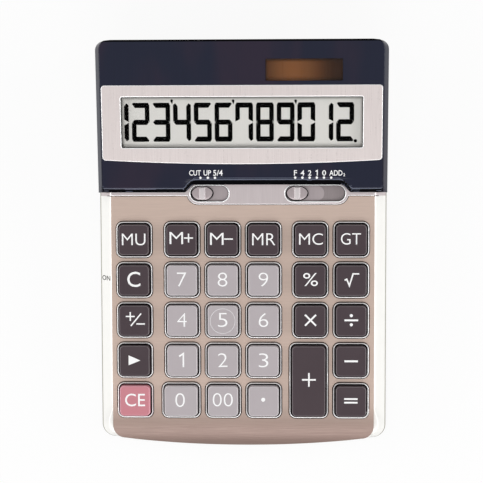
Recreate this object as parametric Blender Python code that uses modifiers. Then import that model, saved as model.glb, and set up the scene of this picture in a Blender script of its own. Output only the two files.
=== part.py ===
"""Desktop calculator with a sloping key deck and a raised display end.

Metres, +Z up. The origin is the middle of the footprint on the table, and +Y points
from the keys to the display. Two tilted planes carry the details: the key deck and the
face of the display cover. Pieces on them are children of an empty that holds the tilt,
so their places are given along the plane and their heights square to it.
"""

import math

import bmesh
import bpy

# Body
BODY_WIDTH = 0.1415
BODY_LENGTH = 0.1979
FRONT_BOW = 0.0038
FRONT_CORNER_RADIUS = 0.0065
REAR_CORNER_RADIUS = 0.0045
BODY_CORNER_STEPS = 4
CASE_REVEAL = 0.0003
FIT = 0.0003
OVERRUN = 0.004
WELD_DISTANCE = 0.00001
REACH = BODY_WIDTH + BODY_LENGTH

# Key deck plane, at the middle of the body
FRONT_HEIGHT = 0.0108
DECK_SLOPE = math.radians(4.5)
DECK_HEIGHT = FRONT_HEIGHT + BODY_LENGTH / 2 * math.tan(DECK_SLOPE)
DECK_THICKNESS = 0.0018
COVER_SETBACK = 0.07225
DECK_REAR = BODY_LENGTH / 2 - COVER_SETBACK
PARTING_DEPTH = 0.0070
SIDE_SLOPE_WIDTH = 0.0059
SIDE_WALL = 0.0018
ROLL_LENGTH = 0.01245
ROLL_START = ROLL_LENGTH - BODY_LENGTH / 2
ROLL_DROP = 0.0062
ROLL_STEPS = 6

# Brushed plate on the deck
PLATE_THICKNESS = 0.0006
PLATE_FRONT_SETBACK = 0.0005
BAND_WIDTH = 0.0018
PLATE_REAR = DECK_REAR - BAND_WIDTH

# Keys, in the deck's own coordinates: they fill the deck between its margins
KEY_REAR_MARGIN = 0.0155
KEY_FRONT_MARGIN = 0.01495
KEY_SIDE_MARGIN = 0.0099
LEFT_GROUP_GAP = 0.0035
RIGHT_GROUP_GAP = 0.0029
KEY_SIDE_SPACE = 0.0047
KEY_END_SPACE = 0.0043
KEY_CORNER = 0.0020
WIDE_KEY_EXTRA = 0.0015
KEY_GAP = 0.0005
KEY_TRAVEL = 0.0015
KEY_RISE = 0.0032
KEY_EDGE = 0.0004
KEY_FLANGE = 0.0007
KEY_FLANGE_THICKNESS = 0.0008
PLUNGER_SIZE = 0.0060
PLUNGER_LENGTH = 0.0008
COLLAR_WALL = 0.0009
COLLAR_RISE = 0.0014
CORNER_STEPS = 2

# Rubber mat and circuit board under the keys
DOME_RISE = 0.0010
DOME_RADIUS = 0.0038
DOME_TOP_RADIUS = 0.0026
DOME_SIDES = 8
MAT_THICKNESS = 0.0008
MAT_MARGIN = 0.0006
BOARD_THICKNESS = 0.0012
BOARD_SIDE_MARGIN = 0.00875
BOARD_WIDTH = BODY_WIDTH - 2 * BOARD_SIDE_MARGIN
BOARD_REACH = 0.0113
BOARD_REAR = DECK_REAR + BOARD_REACH

# Switch panel trim
TRIM_THICKNESS = 0.0010
TRIM_INSET = 0.00055
TRIM_WIDTH = BODY_WIDTH - 2 * (SIDE_SLOPE_WIDTH + TRIM_INSET)
TRIM_LAP = 0.0078
TRIM_REAR = DECK_REAR + TRIM_LAP
KNOB_LENGTH = 0.0110
KNOB_DEPTH = 0.0068
KNOB_RISE = 0.0007
KNOB_SIDES = 20
RIDGE_WIDTH = 0.0026
RIDGE_RISE = 0.0006
RIDGE_INSET = 0.0003
ROUNDING_STEPS = 2
ROUNDING_PITCH = 0.00355
DECIMAL_STEPS = 5
DECIMAL_PITCH = 0.00352
SLOT_CLEARANCE = 0.0002
SLOT_END_MARGIN = 0.0016
SLOT_SPACING = 0.0464
SLOT_DEPTH = KNOB_DEPTH + 2 * SLOT_CLEARANCE
PANEL_RIM = 0.0015
PANEL_DEPTH = SLOT_DEPTH + 2 * PANEL_RIM
PANEL_SETBACK = 0.0009
PANEL_CENTRE = DECK_REAR - PANEL_SETBACK
PANEL_SIDE_MARGIN = 0.01895
PANEL_RIGHT = BODY_WIDTH / 2 - PANEL_SIDE_MARGIN
DECIMAL_SLOT_LENGTH = KNOB_LENGTH + DECIMAL_STEPS * DECIMAL_PITCH + 2 * FIT
DECIMAL_SLOT_LEFT = PANEL_RIGHT - SLOT_END_MARGIN - DECIMAL_SLOT_LENGTH
ROUNDING_SLOT_LEFT = DECIMAL_SLOT_LEFT - SLOT_SPACING
PANEL_LEFT = ROUNDING_SLOT_LEFT - SLOT_END_MARGIN
STEM_WIDTH = 0.0040
STEM_DEPTH = 0.0030
PILL_STEPS = 6

# Display cover and its plane
COVER_STEP = 0.0036
DISPLAY_SLOPE = math.radians(11.0)
COVER_THICKNESS = 0.0016
COVER_WALL = 0.0018
COVER_SLOPE_WIDTH = 0.0030
COVER_SLOPE_DEPTH = 0.0045
COVER_TOP = 0.060
LIP_WIDTH = 0.0018
LIP_DEPTH = 0.0009
SHOULDER_LENGTH = 0.0055
SHOULDER_STEPS = 6

# Display opening, given along the cover face from its lower edge
FRAME_SIDE_MARGIN = 0.00295
FRAME_WIDTH = BODY_WIDTH - 2 * FRAME_SIDE_MARGIN
FRAME_LOWER = 0.0157
FRAME_REAR_MARGIN = 0.02015
FRAME_UPPER = COVER_SETBACK - FRAME_REAR_MARGIN
BEZEL_SIDE = 0.0094
BEZEL_LOWER = 0.0061
BEZEL_UPPER = 0.0057
WINDOW_WIDTH = FRAME_WIDTH - 2 * BEZEL_SIDE
WINDOW_HEIGHT = FRAME_UPPER - FRAME_LOWER - BEZEL_LOWER - BEZEL_UPPER
WINDOW_CENTRE = FRAME_LOWER + BEZEL_LOWER + WINDOW_HEIGHT / 2
FRAME_BOW = 0.0019
FRAME_CORNER = 0.0016
FRAME_THICKNESS = 0.0009
FRAME_POCKET = 0.0007
FRAME_BOW_STEPS = 8
WINDOW_LAP = 0.0016
WINDOW_CORNER = 0.0008
PANE_THICKNESS = 0.0008
PANEL_GLASS_MARGIN = 0.0030
PANEL_GLASS_THICKNESS = 0.0022

# Solar cell
SOLAR_WIDTH = 0.0373
SOLAR_HEIGHT = 0.0108
SOLAR_SIDE_MARGIN = 0.0220
SOLAR_CENTRE_X = BODY_WIDTH / 2 - SOLAR_SIDE_MARGIN - SOLAR_WIDTH / 2
SOLAR_SETOFF = 0.0018
SOLAR_CENTRE = FRAME_UPPER + SOLAR_SETOFF + SOLAR_HEIGHT / 2
SOLAR_CORNER = 0.0008
SOLAR_SETBACK = 0.0003
SOLAR_MARGIN = 0.0020
SOLAR_THICKNESS = 0.0012

# Flat cable from the display panel to the board
RIBBON_WIDTH = 0.0600
RIBBON_THICKNESS = 0.0003
RIBBON_LAP = 0.0030

# Bottom case
FLOOR_HEIGHT = 0.0010
FLOOR_THICKNESS = 0.0019
CASE_WALL = 0.0020
CASE_EDGE = 0.0012
FOOT_RADIUS = 0.0050
FOOT_SEAT = 0.0006
FOOT_SIDE_MARGIN = 0.01275
FOOT_FRONT_MARGIN = 0.02495
FOOT_REAR_MARGIN = 0.02095
FOOT_X = BODY_WIDTH / 2 - FOOT_SIDE_MARGIN
FOOT_FRONT = FOOT_FRONT_MARGIN - BODY_LENGTH / 2
FOOT_REAR = BODY_LENGTH / 2 - FOOT_REAR_MARGIN
ROUND_SIDES = 16

# Screws
SCREW_HEAD_RADIUS = 0.0024
SCREW_HEAD_HEIGHT = 0.0011
SCREW_RADIUS = 0.0012
SCREW_LENGTH = 0.0052
SCREW_SEAT = 0.0016
BOSS_RADIUS = 0.0036
POST_RADIUS = 0.0028
FRONT_SCREW_SIDE_MARGIN = 0.02075
FRONT_SCREW_END_MARGIN = 0.00935
REAR_SCREW_SIDE_MARGIN = 0.00875
REAR_SCREW_END_MARGIN = 0.00895
FRONT_SCREW_X = BODY_WIDTH / 2 - FRONT_SCREW_SIDE_MARGIN
FRONT_SCREW_Y = FRONT_SCREW_END_MARGIN - BODY_LENGTH / 2
REAR_SCREW_X = BODY_WIDTH / 2 - REAR_SCREW_SIDE_MARGIN
REAR_SCREW_Y = BODY_LENGTH / 2 - REAR_SCREW_END_MARGIN
REAR_SCREW_GRIP = 0.0037
SCREW_SIDES = 12

# Button cell, its contacts and its door
CELL_RADIUS = 0.0058
CELL_HEIGHT = 0.0054
CELL_SIDE_MARGIN = 0.04075
CELL_REAR_MARGIN = 0.01695
CELL_X = CELL_SIDE_MARGIN - BODY_WIDTH / 2
CELL_Y = BODY_LENGTH / 2 - CELL_REAR_MARGIN
CELL_LIFT = 0.0023
CELL_BLOCK_WALL = 0.0012
CONTACT_THICKNESS = 0.0004
CONTACT_WIDTH = 0.0040
CONTACT_LENGTH = 0.0180
CONTACT_HEIGHT = 0.0050
DOOR_WIDTH = 0.0240
DOOR_LENGTH = 0.0300
DOOR_FLANGE = 0.0012
DOOR_FLANGE_THICKNESS = 0.0006
DOOR_LIP = 0.00075
DOOR_SETBACK = 0.0002

# Key names by column and row from the display end, and the colour group of each
KEY_NAMES = (
    ("key_mu", "key_clear", "key_sign", "key_shift", "key_clear_entry"),
    ("key_memory_add", "key_7", "key_4", "key_1", "key_0"),
    ("key_memory_subtract", "key_8", "key_5", "key_2", "key_00"),
    ("key_memory_recall", "key_9", "key_6", "key_3", "key_point"),
    ("key_memory_clear", "key_percent", "key_times", "key_plus"),
    ("key_grand_total", "key_root", "key_divide", "key_minus", "key_equals"),
)
LIGHT_KEYS = ("key_0", "key_1", "key_2", "key_3", "key_4", "key_5", "key_6", "key_7",
              "key_8", "key_9", "key_00", "key_point")
PINK_KEYS = ("key_clear_entry",)
WIDE_KEYS = ("key_0", "key_plus")
TALL_KEYS = ("key_plus",)

# Finishes: colour as seen, roughness, metallic
FINISHES = {
    "champagne_case": ((214, 200, 186), 0.35, 0.6),
    "brushed_plate": ((196, 176, 164), 0.38, 0.9),
    "panel_metal": ((204, 194, 196), 0.32, 0.9),
    "cover_gloss": ((24, 25, 42), 0.08, 0.0),
    "frame_silver": ((215, 205, 203), 0.30, 0.9),
    "clear_pane": ((225, 228, 226), 0.05, 0.0),
    "display_glass": ((200, 199, 192), 0.25, 0.0),
    "solar_brown": ((74, 46, 32), 0.20, 0.0),
    "dark_key": ((78, 69, 73), 0.42, 0.0),
    "light_key": ((188, 182, 184), 0.42, 0.0),
    "pink_key": ((216, 136, 150), 0.42, 0.0),
    "knob_metal": ((190, 178, 176), 0.34, 0.8),
    "bottom_plastic": ((196, 188, 180), 0.55, 0.0),
    "foot_rubber": ((40, 40, 42), 0.85, 0.0),
    "mat_rubber": ((150, 152, 150), 0.80, 0.0),
    "board_green": ((36, 84, 52), 0.50, 0.0),
    "ribbon_film": ((176, 130, 70), 0.40, 0.0),
    "cell_steel": ((196, 196, 194), 0.25, 1.0),
    "contact_steel": ((180, 178, 170), 0.30, 1.0),
    "screw_steel": ((120, 120, 122), 0.35, 1.0),
}


def clear_scene():
    """Remove what the file opens with."""
    for item in list(bpy.data.objects):
        bpy.data.objects.remove(item)


def linear(level):
    """One colour channel as seen, 0 to 255, turned into linear light."""
    value = level / 255
    return value / 12.92 if value <= 0.04045 else ((value + 0.055) / 1.055) ** 2.4


def finish(name):
    """The named material, made on first use."""
    if name in bpy.data.materials:
        return bpy.data.materials[name]
    colour, roughness, metallic = FINISHES[name]
    material = bpy.data.materials.new(name)
    material.use_nodes = True
    shader = material.node_tree.nodes["Principled BSDF"]
    shader.inputs["Base Color"].default_value = (*(linear(level) for level in colour), 1)
    shader.inputs["Roughness"].default_value = roughness
    shader.inputs["Metallic"].default_value = metallic
    return material


def new_collection(name):
    """A collection linked to the scene."""
    group = bpy.data.collections.new(name)
    bpy.context.scene.collection.children.link(group)
    return group


clear_scene()
PARTS = new_collection("desktop_calculator")
CUTTERS = new_collection("cutters")


def plane_empty(name, location, slope):
    """An empty that holds the tilt of one plane."""
    empty = bpy.data.objects.new(name, None)
    CUTTERS.objects.link(empty)
    empty.location = location
    empty.rotation_euler = (slope, 0, 0)
    empty.empty_display_size = BODY_WIDTH / 2
    return empty


def in_body(plane, y, z):
    """A point of the side view given in one of the planes, in body coordinates."""
    slope = plane.rotation_euler.x
    return (plane.location.y + y * math.cos(slope) - z * math.sin(slope),
            plane.location.z + y * math.sin(slope) + z * math.cos(slope))


DECK = plane_empty("deck_plane", (0, 0, DECK_HEIGHT), DECK_SLOPE)
FACE = plane_empty("display_plane", (0, *in_body(DECK, DECK_REAR, COVER_STEP)), DISPLAY_SLOPE)

# Turns that stand a flat outline up: across the body, or along it
ALONG_BODY = (math.radians(90), 0, 0)
ACROSS_BODY = (math.radians(90), 0, math.radians(90))
FLAT = (0, 0, 0)


def place(name, mesh, material=None, parent=None, location=(0, 0, 0), rotation=FLAT):
    """Link a mesh as a part, or as a cutter when it has no material."""
    item = bpy.data.objects.new(name, mesh)
    (PARTS if material else CUTTERS).objects.link(item)
    item.parent = parent
    item.location = location
    item.rotation_euler = rotation
    if material:
        mesh.materials.append(finish(material))
    else:
        item.hide_render = True
        item.display_type = "WIRE"
    return item


def combine(item, other, operation):
    """Add a Boolean modifier that joins, cuts or trims one object with another."""
    modifier = item.modifiers.new(f"{operation.lower()} {other.name}", "BOOLEAN")
    modifier.operation = operation
    modifier.solver = "EXACT"
    modifier.object = other


def outline_mesh(name, loops, thickness):
    """A flat plate from closed 2D outlines; a loop inside another is a hole."""
    curve = bpy.data.curves.new(name, "CURVE")
    curve.dimensions = "2D"
    curve.fill_mode = "BOTH"
    curve.extrude = thickness / 2
    for points in loops:
        spline = curve.splines.new("POLY")
        spline.points.add(len(points) - 1)
        for target, (x, y) in zip(spline.points, points):
            target.co = (x, y, 0, 1)
        spline.use_cyclic_u = True
    guide = bpy.data.objects.new(name, curve)
    bpy.context.scene.collection.objects.link(guide)
    graph = bpy.context.evaluated_depsgraph_get()
    mesh = bpy.data.meshes.new_from_object(guide.evaluated_get(graph))
    bpy.data.objects.remove(guide)
    bm = bmesh.new()
    bm.from_mesh(mesh)
    bmesh.ops.remove_doubles(bm, verts=bm.verts, dist=WELD_DISTANCE)
    bmesh.ops.recalc_face_normals(bm, faces=bm.faces)
    bm.to_mesh(mesh)
    bm.free()
    mesh.name = name
    return mesh


def plate(name, loops, bottom, top, material=None, parent=None):
    """A plate from flat outlines, between two heights above its parent's plane."""
    mesh = outline_mesh(name, loops, top - bottom)
    return place(name, mesh, material, parent, (0, 0, (top + bottom) / 2))


def box(name, low, high, material=None, parent=None):
    """A box between two corners."""
    bm = bmesh.new()
    bmesh.ops.create_cube(bm, size=1.0)
    bmesh.ops.scale(bm, vec=[b - a for a, b in zip(low, high)], verts=bm.verts)
    mesh = bpy.data.meshes.new(name)
    bm.to_mesh(mesh)
    bm.free()
    return place(name, mesh, material, parent, [(a + b) / 2 for a, b in zip(low, high)])


def round_bar(name, radius, bottom, top, at, material=None, sides=ROUND_SIDES):
    """An upright cylinder at a place in plan."""
    bm = bmesh.new()
    bmesh.ops.create_cone(bm, cap_ends=True, segments=sides, radius1=radius,
                          radius2=radius, depth=top - bottom)
    mesh = bpy.data.meshes.new(name)
    bm.to_mesh(mesh)
    bm.free()
    smooth_round(mesh)
    return place(name, mesh, material, None, (at[0], at[1], (top + bottom) / 2))


def smooth_round(mesh):
    """Shade the round side smooth and keep the edges of its ends."""
    mesh.shade_smooth()
    mesh.set_sharp_from_angle(angle=math.radians(40))


def rounded_rectangle(centre, width, depth, radius, steps=CORNER_STEPS):
    """Points of a rectangle with arcs at its corners, anticlockwise."""
    reach_x, reach_y = width / 2 - radius, depth / 2 - radius
    points = []
    for number, (side_x, side_y) in enumerate(((1, 1), (-1, 1), (-1, -1), (1, -1))):
        for step in range(steps + 1):
            angle = math.radians(90) * (number + step / steps)
            points.append((centre[0] + side_x * reach_x + radius * math.cos(angle),
                           centre[1] + side_y * reach_y + radius * math.sin(angle)))
    return without_repeats(points)


def without_repeats(points):
    """The closed outline with points that fall on their neighbour left out."""
    return [point for point, before in zip(points, [points[-1], *points])
            if math.dist(point, before) > WELD_DISTANCE]


def pill(left, right, centre_y, depth):
    """A long outline with round ends."""
    centre = ((left + right) / 2, centre_y)
    return rounded_rectangle(centre, right - left, depth, depth / 2, PILL_STEPS)


def body_outline(front, rear, inset=0.0, side_inset=0.0):
    """The body's plan between two ends: bowed front edge and four rounded corners.

    The inset moves the whole outline inwards, and the side inset moves only its flanks.
    """
    half = BODY_WIDTH / 2
    squeeze = (half - inset - side_inset) / (half - inset)
    front_radius = FRONT_CORNER_RADIUS - inset
    rear_radius = REAR_CORNER_RADIUS - inset
    reach_front = half - FRONT_CORNER_RADIUS
    reach_rear = half - REAR_CORNER_RADIUS
    front_centre = front + FRONT_BOW + FRONT_CORNER_RADIUS
    rear_centre = rear - REAR_CORNER_RADIUS
    steps = BODY_CORNER_STEPS
    right = []
    for step in range(steps + 1):
        share = step / steps
        x = reach_front * share
        right.append((x, front + inset + FRONT_BOW * share ** 2))
    for step in range(1, steps + 1):
        angle = math.radians(90) * (step / steps - 1)
        right.append((reach_front + front_radius * math.cos(angle),
                      front_centre + front_radius * math.sin(angle)))
    for step in range(steps + 1):
        angle = math.radians(90) * step / steps
        right.append((reach_rear + rear_radius * math.cos(angle),
                      rear_centre + rear_radius * math.sin(angle)))
    left = [(-x, y) for x, y in reversed(right) if x > 0]
    return [(x * squeeze, y) for x, y in right + left]


def lofted_block(name, levels, material=None, parent=None):
    """A closed block through unlike outlines of as many points, one at each height."""
    bm = bmesh.new()
    rings = [[bm.verts.new((x, y, height)) for x, y in outline] for height, outline in levels]
    bm.faces.new(reversed(rings[0]))
    bm.faces.new(rings[-1])
    for lower, upper in zip(rings, rings[1:]):
        for first, second in zip(range(len(lower)), [*range(1, len(lower)), 0]):
            bm.faces.new((lower[first], lower[second], upper[second], upper[first]))
    mesh = bpy.data.meshes.new(name)
    bm.to_mesh(mesh)
    bm.free()
    return place(name, mesh, material, parent)


def deck_front():
    """Front end of the deck forms, so that the parting edge meets the body's front."""
    return -BODY_LENGTH / 2 / math.cos(DECK_SLOPE) - PARTING_DEPTH * math.tan(DECK_SLOPE)


def roll_points(offset):
    """Side view of the deck's front end, which rolls down to the parting line.

    The offset is measured outwards from the case's own surface.
    """
    run = ROLL_START - deck_front() + offset
    drop = ROLL_DROP + offset
    angles = [math.radians(90) * step / ROLL_STEPS for step in range(ROLL_STEPS + 1)]
    return [(ROLL_START - run * math.sin(angle), offset - drop * (1 - math.cos(angle)))
            for angle in angles]


def deck_profile(name, offset, rear):
    """The side view from the rear end down over the front roll, across the body."""
    roll = roll_points(offset)
    below = -PARTING_DEPTH - OVERRUN
    points = [(rear, offset), *roll, (roll[-1][0], below), (rear, below)]
    mesh = outline_mesh(name, [points], BODY_WIDTH + OVERRUN)
    return place(name, mesh, None, DECK, rotation=ACROSS_BODY)


def sloped_block(name, front, rear, inset, material=None):
    """The deck's plan with flanks that lean inwards, from the parting line upwards."""
    depth = PARTING_DEPTH + OVERRUN
    base = SIDE_SLOPE_WIDTH * OVERRUN / PARTING_DEPTH
    lower = body_outline(front, rear, inset, -base if inset else 0)
    upper = body_outline(front, rear, inset, SIDE_SLOPE_WIDTH + base)
    bottom = -depth if inset else -PARTING_DEPTH
    top = OVERRUN
    return lofted_block(name, [(bottom, lower), (top, upper)], material, DECK)


def key_places():
    """Centre, width and depth of each key by name, in deck coordinates."""
    across = BODY_WIDTH - 2 * KEY_SIDE_MARGIN - LEFT_GROUP_GAP - RIGHT_GROUP_GAP
    along = DECK_REAR + BODY_LENGTH / 2 - KEY_REAR_MARGIN - KEY_FRONT_MARGIN
    column_pitch = (across + KEY_SIDE_SPACE) / len(KEY_NAMES)
    row_pitch = (along + KEY_END_SPACE) / len(KEY_NAMES[0])
    key_width = column_pitch - KEY_SIDE_SPACE
    key_depth = row_pitch - KEY_END_SPACE
    first_row = DECK_REAR - KEY_REAR_MARGIN - key_depth / 2
    columns = [BODY_WIDTH / 2 - KEY_SIDE_MARGIN - key_width / 2]
    for gap in (0, RIGHT_GROUP_GAP, 0, 0, LEFT_GROUP_GAP):
        columns.insert(0, columns[0] - column_pitch - gap)
    places = {}
    for x, names in zip(columns, KEY_NAMES):
        for index, name in enumerate(names):
            row = index + sum(1 for above in names[:index] if above in TALL_KEYS)
            wider = WIDE_KEY_EXTRA if name in WIDE_KEYS else 0
            taller = row_pitch if name in TALL_KEYS else 0
            places[name] = (x - wider / 2, first_row - row_pitch * row - taller / 2,
                            key_width + wider, key_depth + taller)
    return places


def key_loops(grow):
    """Rounded outlines round every key, grown on all sides."""
    return [rounded_rectangle((x, y), width + 2 * grow, depth + 2 * grow, KEY_CORNER + grow)
            for x, y, width, depth in key_places().values()]


def switch_slots():
    """Left end and travel of the two switch slots."""
    return {"rounding_knob": (ROUNDING_SLOT_LEFT, ROUNDING_STEPS * ROUNDING_PITCH),
            "decimal_knob": (DECIMAL_SLOT_LEFT, DECIMAL_STEPS * DECIMAL_PITCH)}


def slot_right(left, travel):
    """Right end of a slot whose knob has the given travel."""
    return left + KNOB_LENGTH + travel + 2 * FIT


def stem_slots():
    """Openings in the deck for the two switch stems."""
    loops = []
    for left, travel in switch_slots().values():
        middle = left + FIT + KNOB_LENGTH / 2
        width = STEM_WIDTH + travel + 2 * FIT
        centre = (middle + travel / 2, PANEL_CENTRE)
        loops.append(rounded_rectangle(centre, width, STEM_DEPTH + 2 * FIT, FIT))
    return loops


def screw_places():
    """Plan place and seat height of each screw."""
    front_seat = FLOOR_HEIGHT + SCREW_SEAT
    rear_seat = parting_height(REAR_SCREW_Y) - REAR_SCREW_GRIP
    return {"screw_front_left": (-FRONT_SCREW_X, FRONT_SCREW_Y, front_seat),
            "screw_front_right": (FRONT_SCREW_X, FRONT_SCREW_Y, front_seat),
            "screw_rear_left": (-REAR_SCREW_X, REAR_SCREW_Y, rear_seat),
            "screw_rear_right": (REAR_SCREW_X, REAR_SCREW_Y, rear_seat)}


def parting_cutter(name, depth):
    """Everything below the parting plane at the given depth under the deck."""
    return box(name, (-REACH, -REACH, -depth - REACH), (REACH, REACH, -depth), parent=DECK)


def build_top_case():
    """Moulded deck with leaning flanks, a rolled front and a collar round each key."""
    front = deck_front()
    case = sloped_block("top_case", front, REACH, 0, "champagne_case")
    combine(case, deck_profile("deck_skin", 0, DECK_REAR - FIT), "INTERSECT")
    tongue_half = BODY_WIDTH / 2 - COVER_WALL - COVER_SLOPE_WIDTH - FIT
    tongue = box("deck_tongue", (-tongue_half, PLATE_REAR - OVERRUN, FIT - DECK_THICKNESS),
                 (tongue_half, TRIM_REAR + FIT, -FIT), parent=DECK)
    combine(case, tongue, "UNION")
    hollow = sloped_block("deck_hollow", front, REACH, SIDE_WALL)
    combine(hollow, deck_profile("deck_lining", -DECK_THICKNESS, REACH), "INTERSECT")
    combine(case, hollow, "DIFFERENCE")
    rims = plate("key_rims", key_loops(KEY_GAP + COLLAR_WALL), -DECK_THICKNESS / 2,
                 COLLAR_RISE, parent=DECK)
    combine(case, rims, "UNION")
    for name, (x, y, _) in screw_places().items():
        if y < 0:
            post = round_bar(f"{name}_post", POST_RADIUS, parting_height(y) + FIT,
                             deck_underside(y), (x, y), sides=SCREW_SIDES)
            combine(case, post, "UNION")
    wells = plate("key_wells", key_loops(KEY_GAP), -PARTING_DEPTH, COLLAR_RISE + OVERRUN,
                  parent=DECK)
    combine(case, wells, "DIFFERENCE")
    stems = plate("stem_slots", stem_slots(), -PARTING_DEPTH, OVERRUN, parent=DECK)
    combine(case, stems, "DIFFERENCE")
    for name, (x, y, seat) in screw_places().items():
        if y < 0:
            pilot = round_bar(f"{name}_pilot", SCREW_RADIUS + FIT, 0, seat + SCREW_LENGTH + FIT,
                              (x, y), sides=SCREW_SIDES)
            combine(case, pilot, "DIFFERENCE")
    return case


def parting_height(y):
    """Height of the parting plane above the table at a place along the body."""
    return DECK_HEIGHT + y * math.tan(DECK_SLOPE) - PARTING_DEPTH / math.cos(DECK_SLOPE)


def deck_underside(y):
    """A height inside the deck's skin, near its underside, on the front roll."""
    along = y / math.cos(DECK_SLOPE)
    reach = (ROLL_START - along) / (ROLL_START - deck_front())
    drop = ROLL_DROP * (1 - math.sqrt(1 - reach ** 2)) if reach > 0 else 0
    return DECK_HEIGHT + y * math.tan(DECK_SLOPE) - drop - DECK_THICKNESS / 2


def cover_underside(y):
    """A height inside the display cover's skin, near its underside."""
    rise = (y - FACE.location.y) * math.tan(DISPLAY_SLOPE)
    return FACE.location.z + rise - COVER_THICKNESS / 2 / math.cos(DISPLAY_SLOPE)


def panel_pill(grow):
    """The wide part of the switch panel, grown on all sides."""
    return pill(PANEL_LEFT - grow, PANEL_RIGHT + grow, PANEL_CENTRE, PANEL_DEPTH + 2 * grow)


def build_faceplate():
    """Thin brushed plate on the deck, rolled over the front, with a hole per collar."""
    inner, outer = roll_points(FIT), roll_points(FIT + PLATE_THICKNESS)
    points = [(PLATE_REAR - FIT, inner[0][1]), *inner, *reversed(outer),
              (PLATE_REAR - FIT, outer[0][1])]
    mesh = outline_mesh("faceplate", [points], BODY_WIDTH)
    sheet = place("faceplate", mesh, "brushed_plate", DECK, rotation=ACROSS_BODY)
    front = deck_front() + PLATE_FRONT_SETBACK
    half_trim = SIDE_SLOPE_WIDTH + FIT
    plan = body_outline(front, DECK_REAR + REAR_CORNER_RADIUS, 0, half_trim)
    combine(sheet, plate("plate_plan", [plan], -PARTING_DEPTH, OVERRUN, parent=DECK), "INTERSECT")
    holes = plate("plate_holes", key_loops(KEY_GAP + COLLAR_WALL + FIT), -PARTING_DEPTH,
                  OVERRUN, parent=DECK)
    combine(sheet, holes, "DIFFERENCE")
    notch = plate("plate_notch", [panel_pill(FIT)], -PARTING_DEPTH, OVERRUN, parent=DECK)
    combine(sheet, notch, "DIFFERENCE")
    return sheet


def build_panel_trim():
    """Metal band above the keys that widens into the plate of the two switches."""
    half = TRIM_WIDTH / 2
    band = plate("panel_trim", [[(-half, PLATE_REAR), (half, PLATE_REAR), (half, TRIM_REAR),
                                 (-half, TRIM_REAR)]], FIT, FIT + TRIM_THICKNESS,
                 "panel_metal", DECK)
    combine(band, plate("panel_plate", [panel_pill(0)], FIT, FIT + TRIM_THICKNESS, parent=DECK),
            "UNION")
    slots = [pill(left, slot_right(left, travel), PANEL_CENTRE, SLOT_DEPTH)
             for left, travel in switch_slots().values()]
    combine(band, plate("panel_slots", slots, -OVERRUN, OVERRUN, parent=DECK), "DIFFERENCE")
    return band


def ellipse(centre_x, centre_y, width, depth):
    """Points of an ellipse, anticlockwise."""
    angles = [math.radians(360) * step / KNOB_SIDES for step in range(KNOB_SIDES)]
    return [(centre_x + width / 2 * math.cos(angle), centre_y + depth / 2 * math.sin(angle))
            for angle in angles]


def build_knob(name, left, travel):
    """Switch knob with a finger ridge and a stem down to the circuit board."""
    top = FIT + TRIM_THICKNESS + KNOB_RISE
    middle = KNOB_LENGTH / 2
    knob = plate(name, [ellipse(0, 0, KNOB_LENGTH, KNOB_DEPTH)], FIT, top, "knob_metal", DECK)
    knob.location.x = left + FIT + middle
    knob.location.y = PANEL_CENTRE
    ridge = box(f"{name}_ridge", (-RIDGE_WIDTH / 2, -KNOB_DEPTH / 2 + RIDGE_INSET, FIT),
                (RIDGE_WIDTH / 2, KNOB_DEPTH / 2 - RIDGE_INSET, top + RIDGE_RISE), parent=DECK)
    foot = -DECK_THICKNESS - KEY_FLANGE_THICKNESS - PLUNGER_LENGTH - KEY_TRAVEL
    stem = box(f"{name}_stem", (-STEM_WIDTH / 2, -STEM_DEPTH / 2, foot),
               (STEM_WIDTH / 2, STEM_DEPTH / 2, top - KNOB_RISE / 2), parent=DECK)
    for extra in (ridge, stem):
        extra.location.x += knob.location.x
        extra.location.y += knob.location.y
        combine(knob, extra, "UNION")
    return knob


def build_key(name, x, y, width, depth):
    """Key cap with softened top edges, a stop flange under the deck and a plunger."""
    bm = bmesh.new()
    bmesh.ops.create_cube(bm, size=1.0)
    bottom, top = -DECK_THICKNESS - FIT, COLLAR_RISE + KEY_RISE
    bmesh.ops.scale(bm, vec=(width, depth, top - bottom), verts=bm.verts)
    bmesh.ops.translate(bm, vec=(0, 0, (top + bottom) / 2), verts=bm.verts)
    uprights = [edge for edge in bm.edges if abs(edge.verts[0].co.z - edge.verts[1].co.z) > FIT]
    bmesh.ops.bevel(bm, geom=uprights, offset=KEY_CORNER, segments=CORNER_STEPS,
                    profile=0.5, affect="EDGES")
    rim = [edge for edge in bm.edges if all(v.co.z > top - WELD_DISTANCE for v in edge.verts)]
    bmesh.ops.bevel(bm, geom=rim, offset=KEY_EDGE, segments=1, affect="EDGES")
    size = (width, depth)
    lowest = min(bm.faces, key=lambda face: face.calc_center_median().z)
    for wide, deep, drop in (
            (width + 2 * KEY_FLANGE, depth + 2 * KEY_FLANGE, 0),
            (width + 2 * KEY_FLANGE, depth + 2 * KEY_FLANGE, KEY_FLANGE_THICKNESS),
            (PLUNGER_SIZE, PLUNGER_SIZE, 0),
            (PLUNGER_SIZE, PLUNGER_SIZE, PLUNGER_LENGTH)):
        grown = bmesh.ops.extrude_face_region(bm, geom=[lowest])["geom"]
        bmesh.ops.delete(bm, geom=[lowest], context="FACES_ONLY")
        verts = [item for item in grown if isinstance(item, bmesh.types.BMVert)]
        lowest = next(item for item in grown if isinstance(item, bmesh.types.BMFace))
        bmesh.ops.scale(bm, vec=(wide / size[0], deep / size[1], 1), verts=verts)
        bmesh.ops.translate(bm, vec=(0, 0, -drop), verts=verts)
        size = (wide, deep)
    bmesh.ops.recalc_face_normals(bm, faces=bm.faces)
    mesh = bpy.data.meshes.new(name)
    bm.to_mesh(mesh)
    bm.free()
    group = "light_key" if name in LIGHT_KEYS else "pink_key" if name in PINK_KEYS else "dark_key"
    return place(name, mesh, group, DECK, (x, y, 0))


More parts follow.
